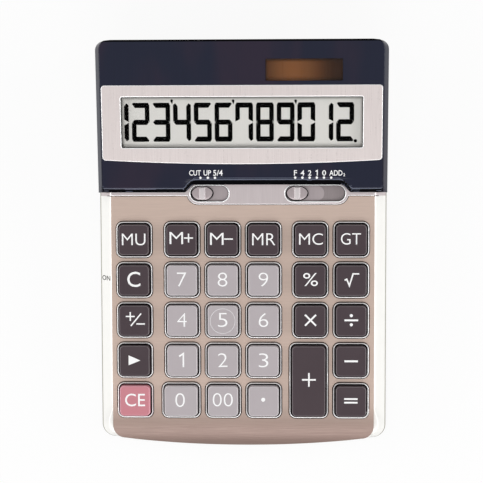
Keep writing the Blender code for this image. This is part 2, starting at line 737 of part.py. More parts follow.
def stack_heights():
    """Tops of the mat domes, the mat sheet and the board, below the deck's surface."""
    pressed = -DECK_THICKNESS - FIT - KEY_FLANGE_THICKNESS - PLUNGER_LENGTH - KEY_TRAVEL
    dome = pressed - FIT
    mat = dome - DOME_RISE
    return dome, mat, mat - MAT_THICKNESS - FIT


def mat_edges():
    """Left, right, front and rear edge of the rubber mat."""
    places = key_places().values()
    grow = KEY_FLANGE + MAT_MARGIN
    return (min(x - width / 2 for x, _, width, _ in places) - grow,
            max(x + width / 2 for x, _, width, _ in places) + grow,
            min(y - depth / 2 for _, y, _, depth in places) - grow,
            max(y + depth / 2 for _, y, _, depth in places) + grow)


def build_key_mat():
    """Rubber sheet with a dome under each key's plunger."""
    dome, sheet_top, board_top = stack_heights()
    left, right, front, rear = mat_edges()
    sheet = box("key_mat", (left, front, board_top + FIT), (right, rear, sheet_top),
                "mat_rubber", DECK)
    bm = bmesh.new()
    for x, y, _, _ in key_places().values():
        cone = bmesh.ops.create_cone(bm, cap_ends=True, segments=DOME_SIDES,
                                     radius1=DOME_RADIUS, radius2=DOME_TOP_RADIUS,
                                     depth=DOME_RISE + MAT_THICKNESS / 2)
        height = (dome + sheet_top - MAT_THICKNESS / 2) / 2
        bmesh.ops.translate(bm, vec=(x, y, height), verts=cone["verts"])
    mesh = bpy.data.meshes.new("mat_domes")
    bm.to_mesh(mesh)
    bm.free()
    combine(sheet, place("mat_domes", mesh, None, DECK), "UNION")
    return sheet


def build_circuit_board():
    """Board under the mat, reaching back below the two switches."""
    _, _, board_top = stack_heights()
    _, _, front, _ = mat_edges()
    half = BOARD_WIDTH / 2
    return box("circuit_board", (-half, front, board_top - BOARD_THICKNESS),
               (half, BOARD_REAR, board_top), "board_green", DECK)


def cover_roof(name, inset, front):
    """Across view of the cover: flat face and two leaning edges, along its slope."""
    half = BODY_WIDTH / 2 - inset
    top = -COVER_THICKNESS if inset else 0
    lean = half - COVER_SLOPE_WIDTH
    shoulder = top - COVER_SLOPE_DEPTH
    points = [(-half, -COVER_TOP), (half, -COVER_TOP), (half, shoulder), (lean, top),
              (-lean, top), (-half, shoulder)]
    length = BODY_LENGTH
    mesh = outline_mesh(name, [points], length)
    return place(name, mesh, None, FACE, (0, front + length / 2, 0), ALONG_BODY)


def frame_outline(grow):
    """Outline of the silver frame, with a bowed lower edge, grown on all sides."""
    half = FRAME_WIDTH / 2 + grow
    upper = rounded_rectangle((0, (FRAME_UPPER + FRAME_LOWER) / 2), 2 * half,
                              FRAME_UPPER - FRAME_LOWER + 2 * grow, FRAME_CORNER + grow)
    reach = half - FRAME_CORNER - grow
    bow = [(reach * share, FRAME_LOWER - grow - FRAME_BOW * (1 - share ** 2))
           for share in (2 * step / FRAME_BOW_STEPS - 1 for step in range(1, FRAME_BOW_STEPS))]
    split = next(index for index, point in enumerate(upper)
                 if abs(point[1] - (FRAME_LOWER - grow)) < WELD_DISTANCE)
    return upper[:split + 1] + bow + upper[split + 1:]


def window_outline(grow):
    """Outline of the display opening, grown on all sides."""
    return rounded_rectangle((0, WINDOW_CENTRE), WINDOW_WIDTH + 2 * grow,
                             WINDOW_HEIGHT + 2 * grow, WINDOW_CORNER)


def solar_outline(grow):
    """Outline of the solar opening, grown on all sides."""
    return rounded_rectangle((SOLAR_CENTRE_X, SOLAR_CENTRE), SOLAR_WIDTH + 2 * grow,
                             SOLAR_HEIGHT + 2 * grow, SOLAR_CORNER)


def lip_bump(edge, offset):
    """Rise of the cover's lower edge over the switch panel, from right to left.

    The offset moves the edge back; each shoulder is half a cosine wave.
    """
    rise = PANEL_CENTRE + PANEL_DEPTH / 2 + FIT - DECK_REAR
    shares = [step / SHOULDER_STEPS for step in range(SHOULDER_STEPS + 1)]
    left = PANEL_LEFT - SHOULDER_LENGTH / 2 - offset
    right = PANEL_RIGHT + SHOULDER_LENGTH / 2 + offset
    heights = [edge + offset + rise * (1 - math.cos(math.pi * share)) / 2 for share in shares]
    climb = [(left + SHOULDER_LENGTH * share, y) for share, y in zip(shares, heights)]
    fall = [(right - SHOULDER_LENGTH * share, y) for share, y in zip(shares, heights)]
    return [*fall, *reversed(climb)]


def lip_outline(edge, offset):
    """Everything ahead of the cover's lower edge."""
    side = BODY_WIDTH
    return [(-side, -BODY_LENGTH), (side, -BODY_LENGTH), (side, edge + offset),
            *lip_bump(edge, offset), (-side, edge + offset)]


def build_display_cover():
    """Dark glossy hood over the display end, open below, with its three openings."""
    rear = BODY_LENGTH / 2
    cover = plate("display_cover", [body_outline(0, rear)], 0, COVER_TOP, "cover_gloss")
    combine(cover, cover_roof("cover_skin", 0, -BODY_LENGTH / 2), "INTERSECT")
    hollow = plate("cover_hollow", [body_outline(0, rear, COVER_WALL)], -OVERRUN,
                   COVER_TOP + OVERRUN)
    combine(hollow, cover_roof("cover_lining", COVER_WALL, -BODY_LENGTH / 2), "INTERSECT")
    combine(cover, hollow, "DIFFERENCE")
    for name, (x, y, _) in screw_places().items():
        if y > 0:
            post = round_bar(f"{name}_post", POST_RADIUS, parting_height(y) - POST_RADIUS,
                             cover_underside(y), (x, y), sides=SCREW_SIDES)
            combine(cover, post, "UNION")
    combine(cover, parting_cutter("cover_parting", PARTING_DEPTH), "DIFFERENCE")
    square = [(-BODY_WIDTH, -BODY_LENGTH), (BODY_WIDTH, -BODY_LENGTH),
              (BODY_WIDTH, DECK_REAR), (-BODY_WIDTH, DECK_REAR)]
    ahead = plate("cover_front_cut", [square], -COVER_TOP, COVER_TOP, parent=DECK)
    combine(cover, ahead, "DIFFERENCE")
    bump = lip_bump(DECK_REAR, 0)
    below = [(bump[-1][0], DECK_REAR - OVERRUN), (bump[0][0], DECK_REAR - OVERRUN)]
    notch = plate("cover_notch", [below + bump], -OVERRUN, COVER_TOP, parent=DECK)
    combine(cover, notch, "DIFFERENCE")
    lip = lofted_block("cover_lip", [(-2 * LIP_DEPTH, lip_outline(0, -LIP_WIDTH)),
                                     (LIP_DEPTH, lip_outline(0, 2 * LIP_WIDTH))], parent=FACE)
    combine(cover, lip, "DIFFERENCE")
    pocket = plate("frame_pocket", [frame_outline(FIT)], -FRAME_POCKET, OVERRUN, parent=FACE)
    combine(cover, pocket, "DIFFERENCE")
    openings = [window_outline(WINDOW_LAP + FIT), solar_outline(0)]
    combine(cover, plate("cover_openings", openings, -COVER_THICKNESS - OVERRUN, OVERRUN,
                         parent=FACE), "DIFFERENCE")
    for name, (x, y, seat) in screw_places().items():
        if y > 0:
            pilot = round_bar(f"{name}_pilot", SCREW_RADIUS + FIT, 0, seat + SCREW_LENGTH + FIT,
                              (x, y), sides=SCREW_SIDES)
            combine(cover, pilot, "DIFFERENCE")
    return cover


def build_display():
    """Silver frame, clear pane and display panel, one behind the other."""
    bottom = FIT - FRAME_POCKET
    frame = plate("display_frame", [frame_outline(0), window_outline(0)], bottom,
                  bottom + FRAME_THICKNESS, "frame_silver", FACE)
    pane_top = bottom - FIT
    pane = plate("display_window", [window_outline(WINDOW_LAP)], pane_top - PANE_THICKNESS,
                 pane_top, "clear_pane", FACE)
    left, right, front, rear, top = panel_glass()
    glass = box("display_panel", (left, front, top - PANEL_GLASS_THICKNESS),
                (right, rear, top), "display_glass", FACE)
    return frame, pane, glass


def panel_glass():
    """Edges and top of the display panel, in the cover's plane."""
    half_width = WINDOW_WIDTH / 2 + WINDOW_LAP + PANEL_GLASS_MARGIN
    half_height = WINDOW_HEIGHT / 2 + WINDOW_LAP + PANEL_GLASS_MARGIN
    return (-half_width, half_width, WINDOW_CENTRE - half_height, WINDOW_CENTRE + half_height,
            -COVER_THICKNESS - FIT)


def build_solar():
    """Clear pane in the cover and the solar cell behind it."""
    pane = plate("solar_window", [solar_outline(-FIT)], -SOLAR_SETBACK - PANE_THICKNESS,
                 -SOLAR_SETBACK, "clear_pane", FACE)
    top = -COVER_THICKNESS - FIT
    half = SOLAR_WIDTH / 2 + SOLAR_MARGIN
    reach = SOLAR_HEIGHT / 2 + SOLAR_MARGIN
    cell = box("solar_cell", (SOLAR_CENTRE_X - half, SOLAR_CENTRE - reach, top - SOLAR_THICKNESS),
               (SOLAR_CENTRE_X + half, SOLAR_CENTRE + reach, top), "solar_brown", FACE)
    return pane, cell


def build_ribbon():
    """Flat cable from the lower edge of the display panel down to the board."""
    _, _, board_top = stack_heights()
    _, _, front, _, top = panel_glass()
    low = board_top + FIT
    high = top - PANEL_GLASS_THICKNESS - FIT
    thick = RIBBON_THICKNESS
    points = [in_body(DECK, BOARD_REAR - RIBBON_LAP, low), in_body(DECK, BOARD_REAR, low),
              in_body(FACE, front + RIBBON_LAP + thick, high - thick),
              in_body(FACE, front + 2 * RIBBON_LAP, high - thick),
              in_body(FACE, front + 2 * RIBBON_LAP, high),
              in_body(FACE, front + RIBBON_LAP, high),
              in_body(DECK, BOARD_REAR - thick, low + thick),
              in_body(DECK, BOARD_REAR - RIBBON_LAP, low + thick)]
    mesh = outline_mesh("display_ribbon", [points], RIBBON_WIDTH)
    return place("display_ribbon", mesh, "ribbon_film", None, rotation=ACROSS_BODY)


def build_bottom_case():
    """Tray with a floor, bosses for the screws and a block for the button cell."""
    front, rear = -BODY_LENGTH / 2, BODY_LENGTH / 2
    top = COVER_TOP
    floor_top = FLOOR_HEIGHT + FLOOR_THICKNESS
    edge = FLOOR_HEIGHT + CASE_EDGE
    tray = lofted_block("bottom_case", [
        (FLOOR_HEIGHT, body_outline(front, rear, CASE_REVEAL + CASE_EDGE)),
        (edge, body_outline(front, rear, CASE_REVEAL)),
        (top, body_outline(front, rear, CASE_REVEAL))], "bottom_plastic")
    hollow = plate("case_hollow", [body_outline(front, rear, CASE_REVEAL + CASE_WALL)],
                   floor_top, top + OVERRUN)
    combine(tray, hollow, "DIFFERENCE")
    for name, (x, y, _) in screw_places().items():
        boss = round_bar(f"{name}_boss", BOSS_RADIUS, floor_top - FLOOR_THICKNESS / 2,
                         top - OVERRUN, (x, y), sides=SCREW_SIDES)
        combine(tray, boss, "UNION")
    half = DOOR_WIDTH / 2 + DOOR_FLANGE + FIT + CELL_BLOCK_WALL
    block_front = door_ends()[0] - FIT - CELL_BLOCK_WALL
    block = box("cell_block", (CELL_X - half, block_front, FLOOR_HEIGHT + FIT),
                (CELL_X + half, rear - CASE_REVEAL - CASE_WALL / 2,
                 FLOOR_HEIGHT + CELL_LIFT + CELL_HEIGHT))
    combine(tray, block, "UNION")
    lid = box("case_parting", (-REACH, -REACH, -PARTING_DEPTH - FIT), (REACH, REACH, REACH),
              parent=DECK)
    combine(tray, lid, "DIFFERENCE")
    for name, (x, y, seat) in screw_places().items():
        bore = round_bar(f"{name}_bore", SCREW_RADIUS + FIT, 0, top, (x, y), sides=SCREW_SIDES)
        recess = round_bar(f"{name}_recess", SCREW_HEAD_RADIUS + FIT, 0, seat, (x, y),
                           sides=SCREW_SIDES)
        combine(tray, bore, "DIFFERENCE")
        combine(tray, recess, "DIFFERENCE")
    for name, place_xy in foot_places().items():
        seat = round_bar(f"{name}_seat", FOOT_RADIUS + FIT, 0, FLOOR_HEIGHT + FOOT_SEAT, place_xy)
        combine(tray, seat, "DIFFERENCE")
    for cutter in cell_cutters():
        combine(tray, cutter, "DIFFERENCE")
    return tray


def foot_places():
    """Plan place of each rubber foot."""
    return {"foot_front_left": (-FOOT_X, FOOT_FRONT), "foot_front_right": (FOOT_X, FOOT_FRONT),
            "foot_rear_left": (-FOOT_X, FOOT_REAR), "foot_rear_right": (FOOT_X, FOOT_REAR)}


def door_heights():
    """Underside, flange bottom and flange top of the battery door."""
    bottom = FLOOR_HEIGHT + DOOR_SETBACK
    flange = FLOOR_HEIGHT + DOOR_LIP + FIT
    return bottom, flange, flange + DOOR_FLANGE_THICKNESS


def door_ends():
    """Front and rear end of the battery door."""
    rear = BODY_LENGTH / 2 - CASE_REVEAL - CASE_EDGE
    return rear - DOOR_LENGTH, rear


def cell_cutters():
    """Well of the button cell, the door's grooves and the pocket of the side contact."""
    _, flange_bottom, flange_top = door_heights()
    front, rear = door_ends()
    half = DOOR_WIDTH / 2 + FIT
    wide = half + DOOR_FLANGE
    low = box("door_slot", (CELL_X - half, front - FIT, 0),
              (CELL_X + half, rear + OVERRUN, flange_top))
    high = box("door_groove", (CELL_X - wide, front - FIT, flange_bottom - FIT),
               (CELL_X + wide, rear + OVERRUN, flange_top + FIT))
    well = round_bar("cell_well", CELL_RADIUS + FIT, flange_top - FIT, COVER_TOP / 2,
                     (CELL_X, CELL_Y))
    reach = CELL_X + CELL_RADIUS + FIT
    pocket = box("contact_pocket", (CELL_X, CELL_Y - CONTACT_WIDTH / 2 - FIT,
                                    side_contact_bottom() - FIT),
                 (reach + CONTACT_THICKNESS + 2 * FIT, CELL_Y + CONTACT_WIDTH / 2 + FIT,
                  COVER_TOP / 2))
    return low, high, well, pocket


def side_contact_bottom():
    """Lower end of the side contact, above the door's groove."""
    _, _, flange_top = door_heights()
    return flange_top + 2 * FIT + DOOR_FLANGE_THICKNESS


def build_cell_and_contacts():
    """Button cell in its well, a contact strip across its top and one at its side."""
    bottom = FLOOR_HEIGHT + CELL_LIFT
    top = bottom + CELL_HEIGHT
    cell = round_bar("button_cell", CELL_RADIUS, bottom, top, (CELL_X, CELL_Y), "cell_steel")
    half = CONTACT_LENGTH / 2
    upper = box("contact_top", (CELL_X - half, CELL_Y - CONTACT_WIDTH / 2, top + FIT),
                (CELL_X + half, CELL_Y + CONTACT_WIDTH / 2, top + FIT + CONTACT_THICKNESS),
                "contact_steel")
    left = CELL_X + CELL_RADIUS + FIT
    low = side_contact_bottom()
    side = box("contact_side", (left, CELL_Y - CONTACT_WIDTH / 2, low),
               (left + CONTACT_THICKNESS, CELL_Y + CONTACT_WIDTH / 2, low + CONTACT_HEIGHT - FIT),
               "contact_steel")
    return cell, upper, side


def build_battery_door():
    """Sliding door whose side flanges run in grooves above the floor's lips."""
    bottom, flange_bottom, flange_top = door_heights()
    front, rear = door_ends()
    half = DOOR_WIDTH / 2
    door = box("battery_door", (CELL_X - half, front, bottom), (CELL_X + half, rear, flange_top),
               "bottom_plastic")
    wide = half + DOOR_FLANGE
    flange = box("door_flange", (CELL_X - wide, front, flange_bottom),
                 (CELL_X + wide, rear, flange_top))
    combine(door, flange, "UNION")
    return door


def build_feet():
    """Four rubber feet in shallow seats under the floor."""
    top = FLOOR_HEIGHT + FOOT_SEAT - FIT
    return [round_bar(name, FOOT_RADIUS, 0, top, at, "foot_rubber")
            for name, at in foot_places().items()]


def build_screw(name, x, y, seat):
    """Pan head screw as a turned profile, with its head below its seat."""
    head_top = seat - FIT
    profile = [(0, head_top + SCREW_LENGTH), (SCREW_RADIUS, head_top + SCREW_LENGTH),
               (SCREW_RADIUS, head_top), (SCREW_HEAD_RADIUS, head_top),
               (SCREW_HEAD_RADIUS, head_top - SCREW_HEAD_HEIGHT), (0, head_top - SCREW_HEAD_HEIGHT)]
    mesh = bpy.data.meshes.new(name)
    mesh.from_pydata([(radius, 0, height) for radius, height in profile],
                     [(index, index + 1) for index in range(len(profile) - 1)], [])
    screw = place(name, mesh, "screw_steel", None, (x, y, 0))
    turn = screw.modifiers.new("turned", "SCREW")
    turn.steps = turn.render_steps = SCREW_SIDES
    turn.use_merge_vertices = True
    turn.merge_threshold = WELD_DISTANCE
    return screw


def main():
    """Build every sub-part in order."""
    build_bottom_case()
    build_top_case()
    build_faceplate()
    build_panel_trim()
    for name, (left, travel) in switch_slots().items():
        build_knob(name, left, travel)
    for name, (x, y, width, depth) in key_places().items():
        build_key(name, x, y, width, depth)
    build_key_mat()
    build_circuit_board()
    build_display_cover()
    build_display()
    build_solar()
    build_ribbon()
    build_cell_and_contacts()
    build_battery_door()
    build_feet()
    for name, (x, y, seat) in screw_places().items():
        build_screw(name, x, y, seat)
    bpy.context.view_layer.update()


main()
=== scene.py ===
"""Looks of a desktop calculator with a sloping key deck and a dark display cover.

Metres, +Z up, +Y from the keys to the display, with the origin in the middle of the
footprint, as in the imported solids. Two tilted planes carry the details: the key deck and
the face of the display cover. Points on them are given as x, the way along the slope and
the height square to it.
"""

import logging
import math
from dataclasses import dataclass
from enum import Enum
from typing import Callable, Sequence

import bmesh
import bpy
import numpy as np
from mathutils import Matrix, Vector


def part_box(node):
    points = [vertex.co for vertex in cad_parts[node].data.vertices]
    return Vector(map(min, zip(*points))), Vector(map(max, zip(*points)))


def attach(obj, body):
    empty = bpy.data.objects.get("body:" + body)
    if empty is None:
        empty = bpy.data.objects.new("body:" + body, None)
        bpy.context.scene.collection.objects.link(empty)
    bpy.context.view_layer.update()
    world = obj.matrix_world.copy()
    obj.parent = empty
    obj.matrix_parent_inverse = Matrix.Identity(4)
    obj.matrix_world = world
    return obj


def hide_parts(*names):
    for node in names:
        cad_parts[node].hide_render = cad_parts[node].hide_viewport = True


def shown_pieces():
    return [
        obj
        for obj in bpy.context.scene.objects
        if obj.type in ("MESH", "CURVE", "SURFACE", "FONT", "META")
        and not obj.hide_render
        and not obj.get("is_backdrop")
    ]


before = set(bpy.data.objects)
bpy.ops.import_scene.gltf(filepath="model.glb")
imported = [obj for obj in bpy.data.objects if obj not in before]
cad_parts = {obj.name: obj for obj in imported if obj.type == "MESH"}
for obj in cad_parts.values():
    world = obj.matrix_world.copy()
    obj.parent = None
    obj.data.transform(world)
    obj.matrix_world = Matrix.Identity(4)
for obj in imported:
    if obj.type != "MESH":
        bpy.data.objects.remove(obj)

LOG = logging.getLogger("calculator")
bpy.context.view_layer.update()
CASE = "case"
CORNERS = ("front_left", "front_right", "rear_left", "rear_right")
PRINT_SINK = 0.00002
Faces = list[tuple[int, ...]]
Mesh = tuple[np.ndarray, Faces]


# ---- Sizes that the pieces share


@dataclass(frozen=True)
class Plane:
    """A tilted plane across the body, by its origin in the side view and its slope."""

    y: float
    z: float
    slope: float

    @property
    def up(self) -> np.ndarray:
        """The way square to the plane."""
        return np.array([0.0, -math.sin(self.slope), math.cos(self.slope)])

    def world(self, points: np.ndarray) -> np.ndarray:
        """Points (x, along, height) of the plane, turned by its slope into the body.

        Args:
            points: array whose last axis is x, way along the slope, height above it.

        Returns:
            The same points in body coordinates.
        """
        x, along, height = np.moveaxis(np.asarray(points, float), -1, 0)
        cos, sin = math.cos(self.slope), math.sin(self.slope)
        return np.stack([x, self.y + along * cos - height * sin,
                         self.z + along * sin + height * cos], -1)

    def lift(self, mesh: "Mesh", place: Sequence[float] = (0.0, 0.0, 0.0)) -> "Mesh":
        """A mesh drawn on the plane, moved to a place of it, in body coordinates."""
        return self.world(mesh[0] + np.asarray(place)), mesh[1]


@dataclass(frozen=True)
class BodySizes:
    """Driving sizes of the body, the same as the solids have."""

    width: float = 0.1415
    length: float = 0.1979
    bow: float = 0.0038
    front_radius: float = 0.0065
    rear_radius: float = 0.0045
    front_height: float = 0.0108
    deck_slope: float = math.radians(4.5)
    cover_setback: float = 0.07225
    parting: float = 0.0070
    flank_width: float = 0.0059
    roll_length: float = 0.01245
    roll_drop: float = 0.0062
    cover_step: float = 0.0036
    face_slope: float = math.radians(11.0)
    fit: float = 0.0003

    @property
    def half(self) -> float:
        """Half the body's width."""
        return self.width / 2

    @property
    def deck(self) -> Plane:
        """Plane of the key deck."""
        rise = self.length / 2 * math.tan(self.deck_slope)
        return Plane(0.0, self.front_height + rise, self.deck_slope)

    @property
    def deck_rear(self) -> float:
        """Way along the deck to the lower edge of the display cover."""
        return self.length / 2 - self.cover_setback

    @property
    def deck_front(self) -> float:
        """Way along the deck to the front end, where the parting edge meets the body."""
        return (-self.length / 2 / math.cos(self.deck_slope)
                - self.parting * math.tan(self.deck_slope))

    @property
    def roll_start(self) -> float:
        """Way along the deck to where the front starts to roll down."""
        return self.roll_length - self.length / 2

    @property
    def roll_run(self) -> float:
        """Length of the front roll along the deck."""
        return self.roll_start - self.deck_front

    @property
    def face(self) -> Plane:
        """Plane of the display cover's face, from its lower edge."""
        _, y, z = self.deck.world(np.array([0.0, self.deck_rear, self.cover_step]))
        return Plane(float(y), float(z), self.face_slope)


BODY = BodySizes()
DECK, FACE = BODY.deck, BODY.face


@dataclass(frozen=True)
class PhotoView:
    """The camera of the photograph: above the deck, a little to its right, turned to its middle."""

    x: float = -0.00049
    y: float = 0.00235
    aside: float = 0.026
    distance: float = 0.700
    deck_middle: float = 0.0193
    pixel: float = 0.00049
    frame_pixels: float = 483.0
    middle_pixel: float = 241.5
    sensor: float = 36.0

    def point(self, px: float, py: float, plane: Plane) -> np.ndarray:
        """Where the line of sight through a pixel meets a plane.

        Args:
            px: pixel across, from the left.
            py: pixel down, from the top.
            plane: the plane that is met.

        Returns:
            The way across and the way along the plane.
        """
        eye = np.array([self.x + self.aside, self.y, self.deck_middle + self.distance])
        across, turn = (px - self.middle_pixel) * self.pixel, math.atan(self.aside / self.distance)
        ray = np.array([across * math.cos(turn) - self.distance * math.sin(turn),
                        (self.middle_pixel - py) * self.pixel,
                        -across * math.sin(turn) - self.distance * math.cos(turn)])
        origin = np.array([0.0, plane.y, plane.z])
        hit = eye + ray * ((origin - eye) @ plane.up) / (ray @ plane.up)
        along = (hit[1] - plane.y) * math.cos(plane.slope) + (hit[2] - plane.z) * math.sin(plane.slope)
        return np.array([hit[0], along])

    def build(self) -> None:
        """Make the camera and hand it to the scene."""
        data = bpy.data.cameras.new("photo_view")
        data.sensor_width = self.sensor
        data.lens = self.sensor * self.distance / (self.frame_pixels * self.pixel)
        item = placed("photo_view", data)
        item.location = (self.x + self.aside, self.y, self.deck_middle + self.distance)
        item.rotation_euler = (0.0, math.atan(self.aside / self.distance), 0.0)
        bpy.context.scene.camera = item


VIEW = PhotoView()


# ---- Mesh making


def grid_faces(rows: int, columns: int, wrap_rows: bool = False,
               wrap_columns: bool = True) -> Faces:
    """Quads between neighbouring points of a grid.

    Args:
        rows: rings of points.
        columns: points in each ring.
        wrap_rows: whether the last ring joins the first.
        wrap_columns: whether each ring is closed.

    Returns:
        Corner numbers of each quad.
    """
    index = np.arange(rows * columns).reshape(rows, columns)
    if wrap_columns:
        index = np.concatenate([index, index[:, :1]], 1)
    if wrap_rows:
        index = np.concatenate([index, index[:1]], 0)
    quads = np.stack([index[:-1, :-1], index[:-1, 1:], index[1:, 1:], index[1:, :-1]], -1)
    return [tuple(quad) for quad in quads.reshape(-1, 4).tolist()]


def loft(rings: np.ndarray, closed_rings: bool = False) -> Mesh:
    """A closed shape through rings of as many points: a profile carried round a path.

    Args:
        rings: array of rings, points and coordinates.
        closed_rings: whether the last ring joins the first; otherwise both ends are capped.

    Returns:
        Points and faces.
    """
    count, around = rings.shape[:2]
    faces = grid_faces(count, around, wrap_rows=closed_rings)
    if not closed_rings:
        faces.append(tuple(range(around))[::-1])
        faces.append(tuple(range((count - 1) * around, count * around)))
    return rings.reshape(-1, 3), faces


def join(meshes: Sequence[Mesh]) -> Mesh:
    """Several meshes as one, with the face numbers moved on."""
    points, faces, start = [], [], 0
    for some_points, some_faces in meshes:
        points.append(np.asarray(some_points, float))
        faces += [tuple(number + start for number in face) for face in some_faces]
        start += len(some_points)
    return np.concatenate(points), faces


@dataclass(frozen=True)
class Accent:
    """A further finish of a piece, and a test on face centres and normals for its place."""

    finish: "Finish"
    where: Callable[[np.ndarray, np.ndarray], np.ndarray]


def mark_borders(data: bpy.types.Mesh) -> None:
    """Make the edges that only one face has sharp, so that a wall's rim shades flat."""
    used = np.zeros(len(data.loops), np.int32)
    data.loops.foreach_get("edge_index", used)
    single = np.bincount(used, minlength=len(data.edges)) == 1
    sharp = data.attributes.get("sharp_edge") or data.attributes.new("sharp_edge", "BOOLEAN", "EDGE")
    state = np.zeros(len(data.edges), bool)
    sharp.data.foreach_get("value", state)
    sharp.data.foreach_set("value", state | single)


def tilted(plane: Plane, low: float, high: float) -> Callable:
    """A test for faces whose normal's share along a plane's own lies between two values."""
    return lambda centres, normals: (normals @ plane.up > low) & (normals @ plane.up < high)


def placed(name: str, data: bpy.types.ID) -> bpy.types.Object:
    """A new object, linked into the scene."""
    item = bpy.data.objects.new(name, data)
    bpy.context.scene.collection.objects.link(item)
    return item


def make(name: str, mesh: Mesh, finish: "Finish", body: str = CASE,
         replaces: Sequence[str] = (), angle: float = 35.0, closed: bool = True,
         wall: float = 0.0, accents: Sequence["Accent"] = ()) -> bpy.types.Object:
    """Put a mesh into the scene as a piece that rides on a body.

    Args:
        name: the piece's name.
        mesh: points in body coordinates, and faces.
        finish: what covers it.
        body: the body that it rides on.
        replaces: CAD nodes that it stands for.
        angle: edges sharper than this many degrees stay sharp.
        closed: whether the shape is closed; an open skin is turned to face up.
        wall: thickness given to an open skin, inwards.
        accents: further finishes and the faces that take them.

    Returns:
        The new object.
    """
    points, faces = mesh
    data = bpy.data.meshes.new(name)
    data.from_pydata(np.asarray(points, float).tolist(), [], faces)
    bm = bmesh.new()
    bm.from_mesh(data)
    bmesh.ops.remove_doubles(bm, verts=bm.verts, dist=2e-7)
    bmesh.ops.dissolve_degenerate(bm, edges=bm.edges, dist=1e-8)
    bmesh.ops.recalc_face_normals(bm, faces=bm.faces)
    if not closed and sum(face.normal.z * face.calc_area() for face in bm.faces) < 0:
        bmesh.ops.reverse_faces(bm, faces=bm.faces)
    bm.to_mesh(data)
    bm.free()
    data.shade_smooth()
    data.set_sharp_from_angle(angle=math.radians(angle))
    mark_borders(data)
    data.materials.append(finish.material())
    centres, normals = np.zeros((2, len(data.polygons) * 3))
    data.polygons.foreach_get("center", centres)
    data.polygons.foreach_get("normal", normals)
    numbers = np.zeros(len(data.polygons), np.int32)
    for number, accent in enumerate(accents, 1):
        data.materials.append(accent.finish.material())
        numbers[accent.where(centres.reshape(-1, 3), normals.reshape(-1, 3))] = number
    data.polygons.foreach_set("material_index", numbers)
    item = placed(name, data)
    if wall:
        skin = item.modifiers.new("wall", "SOLIDIFY")
        skin.thickness, skin.offset, skin.use_even_offset = wall, -1.0, False
    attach(item, body)
    if replaces:
        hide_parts(*replaces)
    return item


def ring(loop: np.ndarray, height: "float | np.ndarray") -> np.ndarray:
    """An outline at a height, or with a height for each point."""
    return np.column_stack([loop, np.broadcast_to(height, len(loop))])


def swept(outline: Callable[[float], np.ndarray], profile: Sequence[tuple[float, float]],
          plane: Plane) -> Mesh:
    """A profile of way out and height, carried round an outline on a plane."""
    rings = [ring(outline(out), height) for out, height in profile]
    return plane.lift(loft(np.stack(rings), closed_rings=True))


def mesh_parts(data: bpy.types.Mesh) -> Mesh:
    """The points and faces of a Blender mesh."""
    points = np.zeros(len(data.vertices) * 3)
    data.vertices.foreach_get("co", points)
    return points.reshape(-1, 3), [tuple(face.vertices) for face in data.polygons]


def flat_curve(kind: str, thickness: float, bevel: float = 0.0) -> bpy.types.Curve:
    """A filled 2D curve, or lettering, with a thickness and softened edges."""
    curve = bpy.data.curves.new("flat", kind)
    curve.dimensions, curve.fill_mode = "2D", "BOTH"
    curve.extrude, curve.bevel_depth = thickness / 2 - bevel, bevel
    curve.bevel_resolution, curve.offset = 1, -bevel
    return curve


def curve_mesh(curve: bpy.types.Curve) -> Mesh:
    """The mesh that a flat curve makes, as points and faces."""
    guide = placed("flat", curve)
    graph = bpy.context.evaluated_depsgraph_get()
    data = bpy.data.meshes.new_from_object(guide.evaluated_get(graph))
    bpy.data.objects.remove(guide)
    result = mesh_parts(data)
    bpy.data.meshes.remove(data)
    bpy.data.curves.remove(curve)
    return result


def sheet(loops: Sequence[np.ndarray], bottom: float, top: float, bevel: float = 0.0) -> Mesh:
    """A flat sheet from closed outlines, in which a loop inside another is a hole.

    Args:
        loops: outlines, each an array of points.
        bottom: height of its underside.
        top: height of its upper side.
        bevel: size of its softened edges.

    Returns:
        Points and faces.
    """
    curve = flat_curve("CURVE", top - bottom, bevel)
    for loop in loops:
        spline = curve.splines.new("POLY")
        spline.points.add(len(loop) - 1)
        flat = np.column_stack([loop, np.zeros(len(loop)), np.ones(len(loop))])
        spline.points.foreach_set("co", flat.ravel())
        spline.use_cyclic_u = True
    points, faces = curve_mesh(curve)
    return points + np.array([0.0, 0.0, (bottom + top) / 2]), faces


def prisms(loops: Sequence[np.ndarray], bottom: float, top: float) -> Mesh:
    """Upright prisms on closed outlines: each outline at two heights, capped."""
    return join([loft(np.stack([ring(loop, bottom), ring(loop, top)])) for loop in loops])


def rounded_loop(half_x: float, half_y: float, radius: float, steps: int = 8, side: int = 4,
                 centre: Sequence[float] = (0.0, 0.0)) -> np.ndarray:
    """A rectangle with quarter circles at its corners, anticlockwise from the right.

    Args:
        half_x: half its width.
        half_y: half its depth.
        radius: corner radius.
        steps: chords in each quarter circle.
        side: pieces of each straight side.
        centre: its middle.

    Returns:
        Points of the loop, as many for every size.
    """
    arcs = []
    for quarter, (side_x, side_y) in enumerate(((1, 1), (-1, 1), (-1, -1), (1, -1))):
        angle = math.pi / 2 * (quarter + np.linspace(0, 1, steps + 1))
        arcs.append(np.column_stack([side_x * (half_x - radius) + radius * np.cos(angle),
                                     side_y * (half_y - radius) + radius * np.sin(angle)]))
    loop = []
    for arc, after in zip(arcs, arcs[1:] + arcs[:1]):
        share = np.linspace(0, 1, side + 1)[1:-1, None]
        loop += [arc, arc[-1] + (after[0] - arc[-1]) * share]
    return np.concatenate(loop) + np.asarray(centre)


def disc(radius: float, centre: Sequence[float], sides: int = 20) -> np.ndarray:
    """A circle."""
    angle = 2 * math.pi * np.arange(sides) / sides
    return np.column_stack([centre[0] + radius * np.cos(angle),
                            centre[1] + radius * np.sin(angle)])


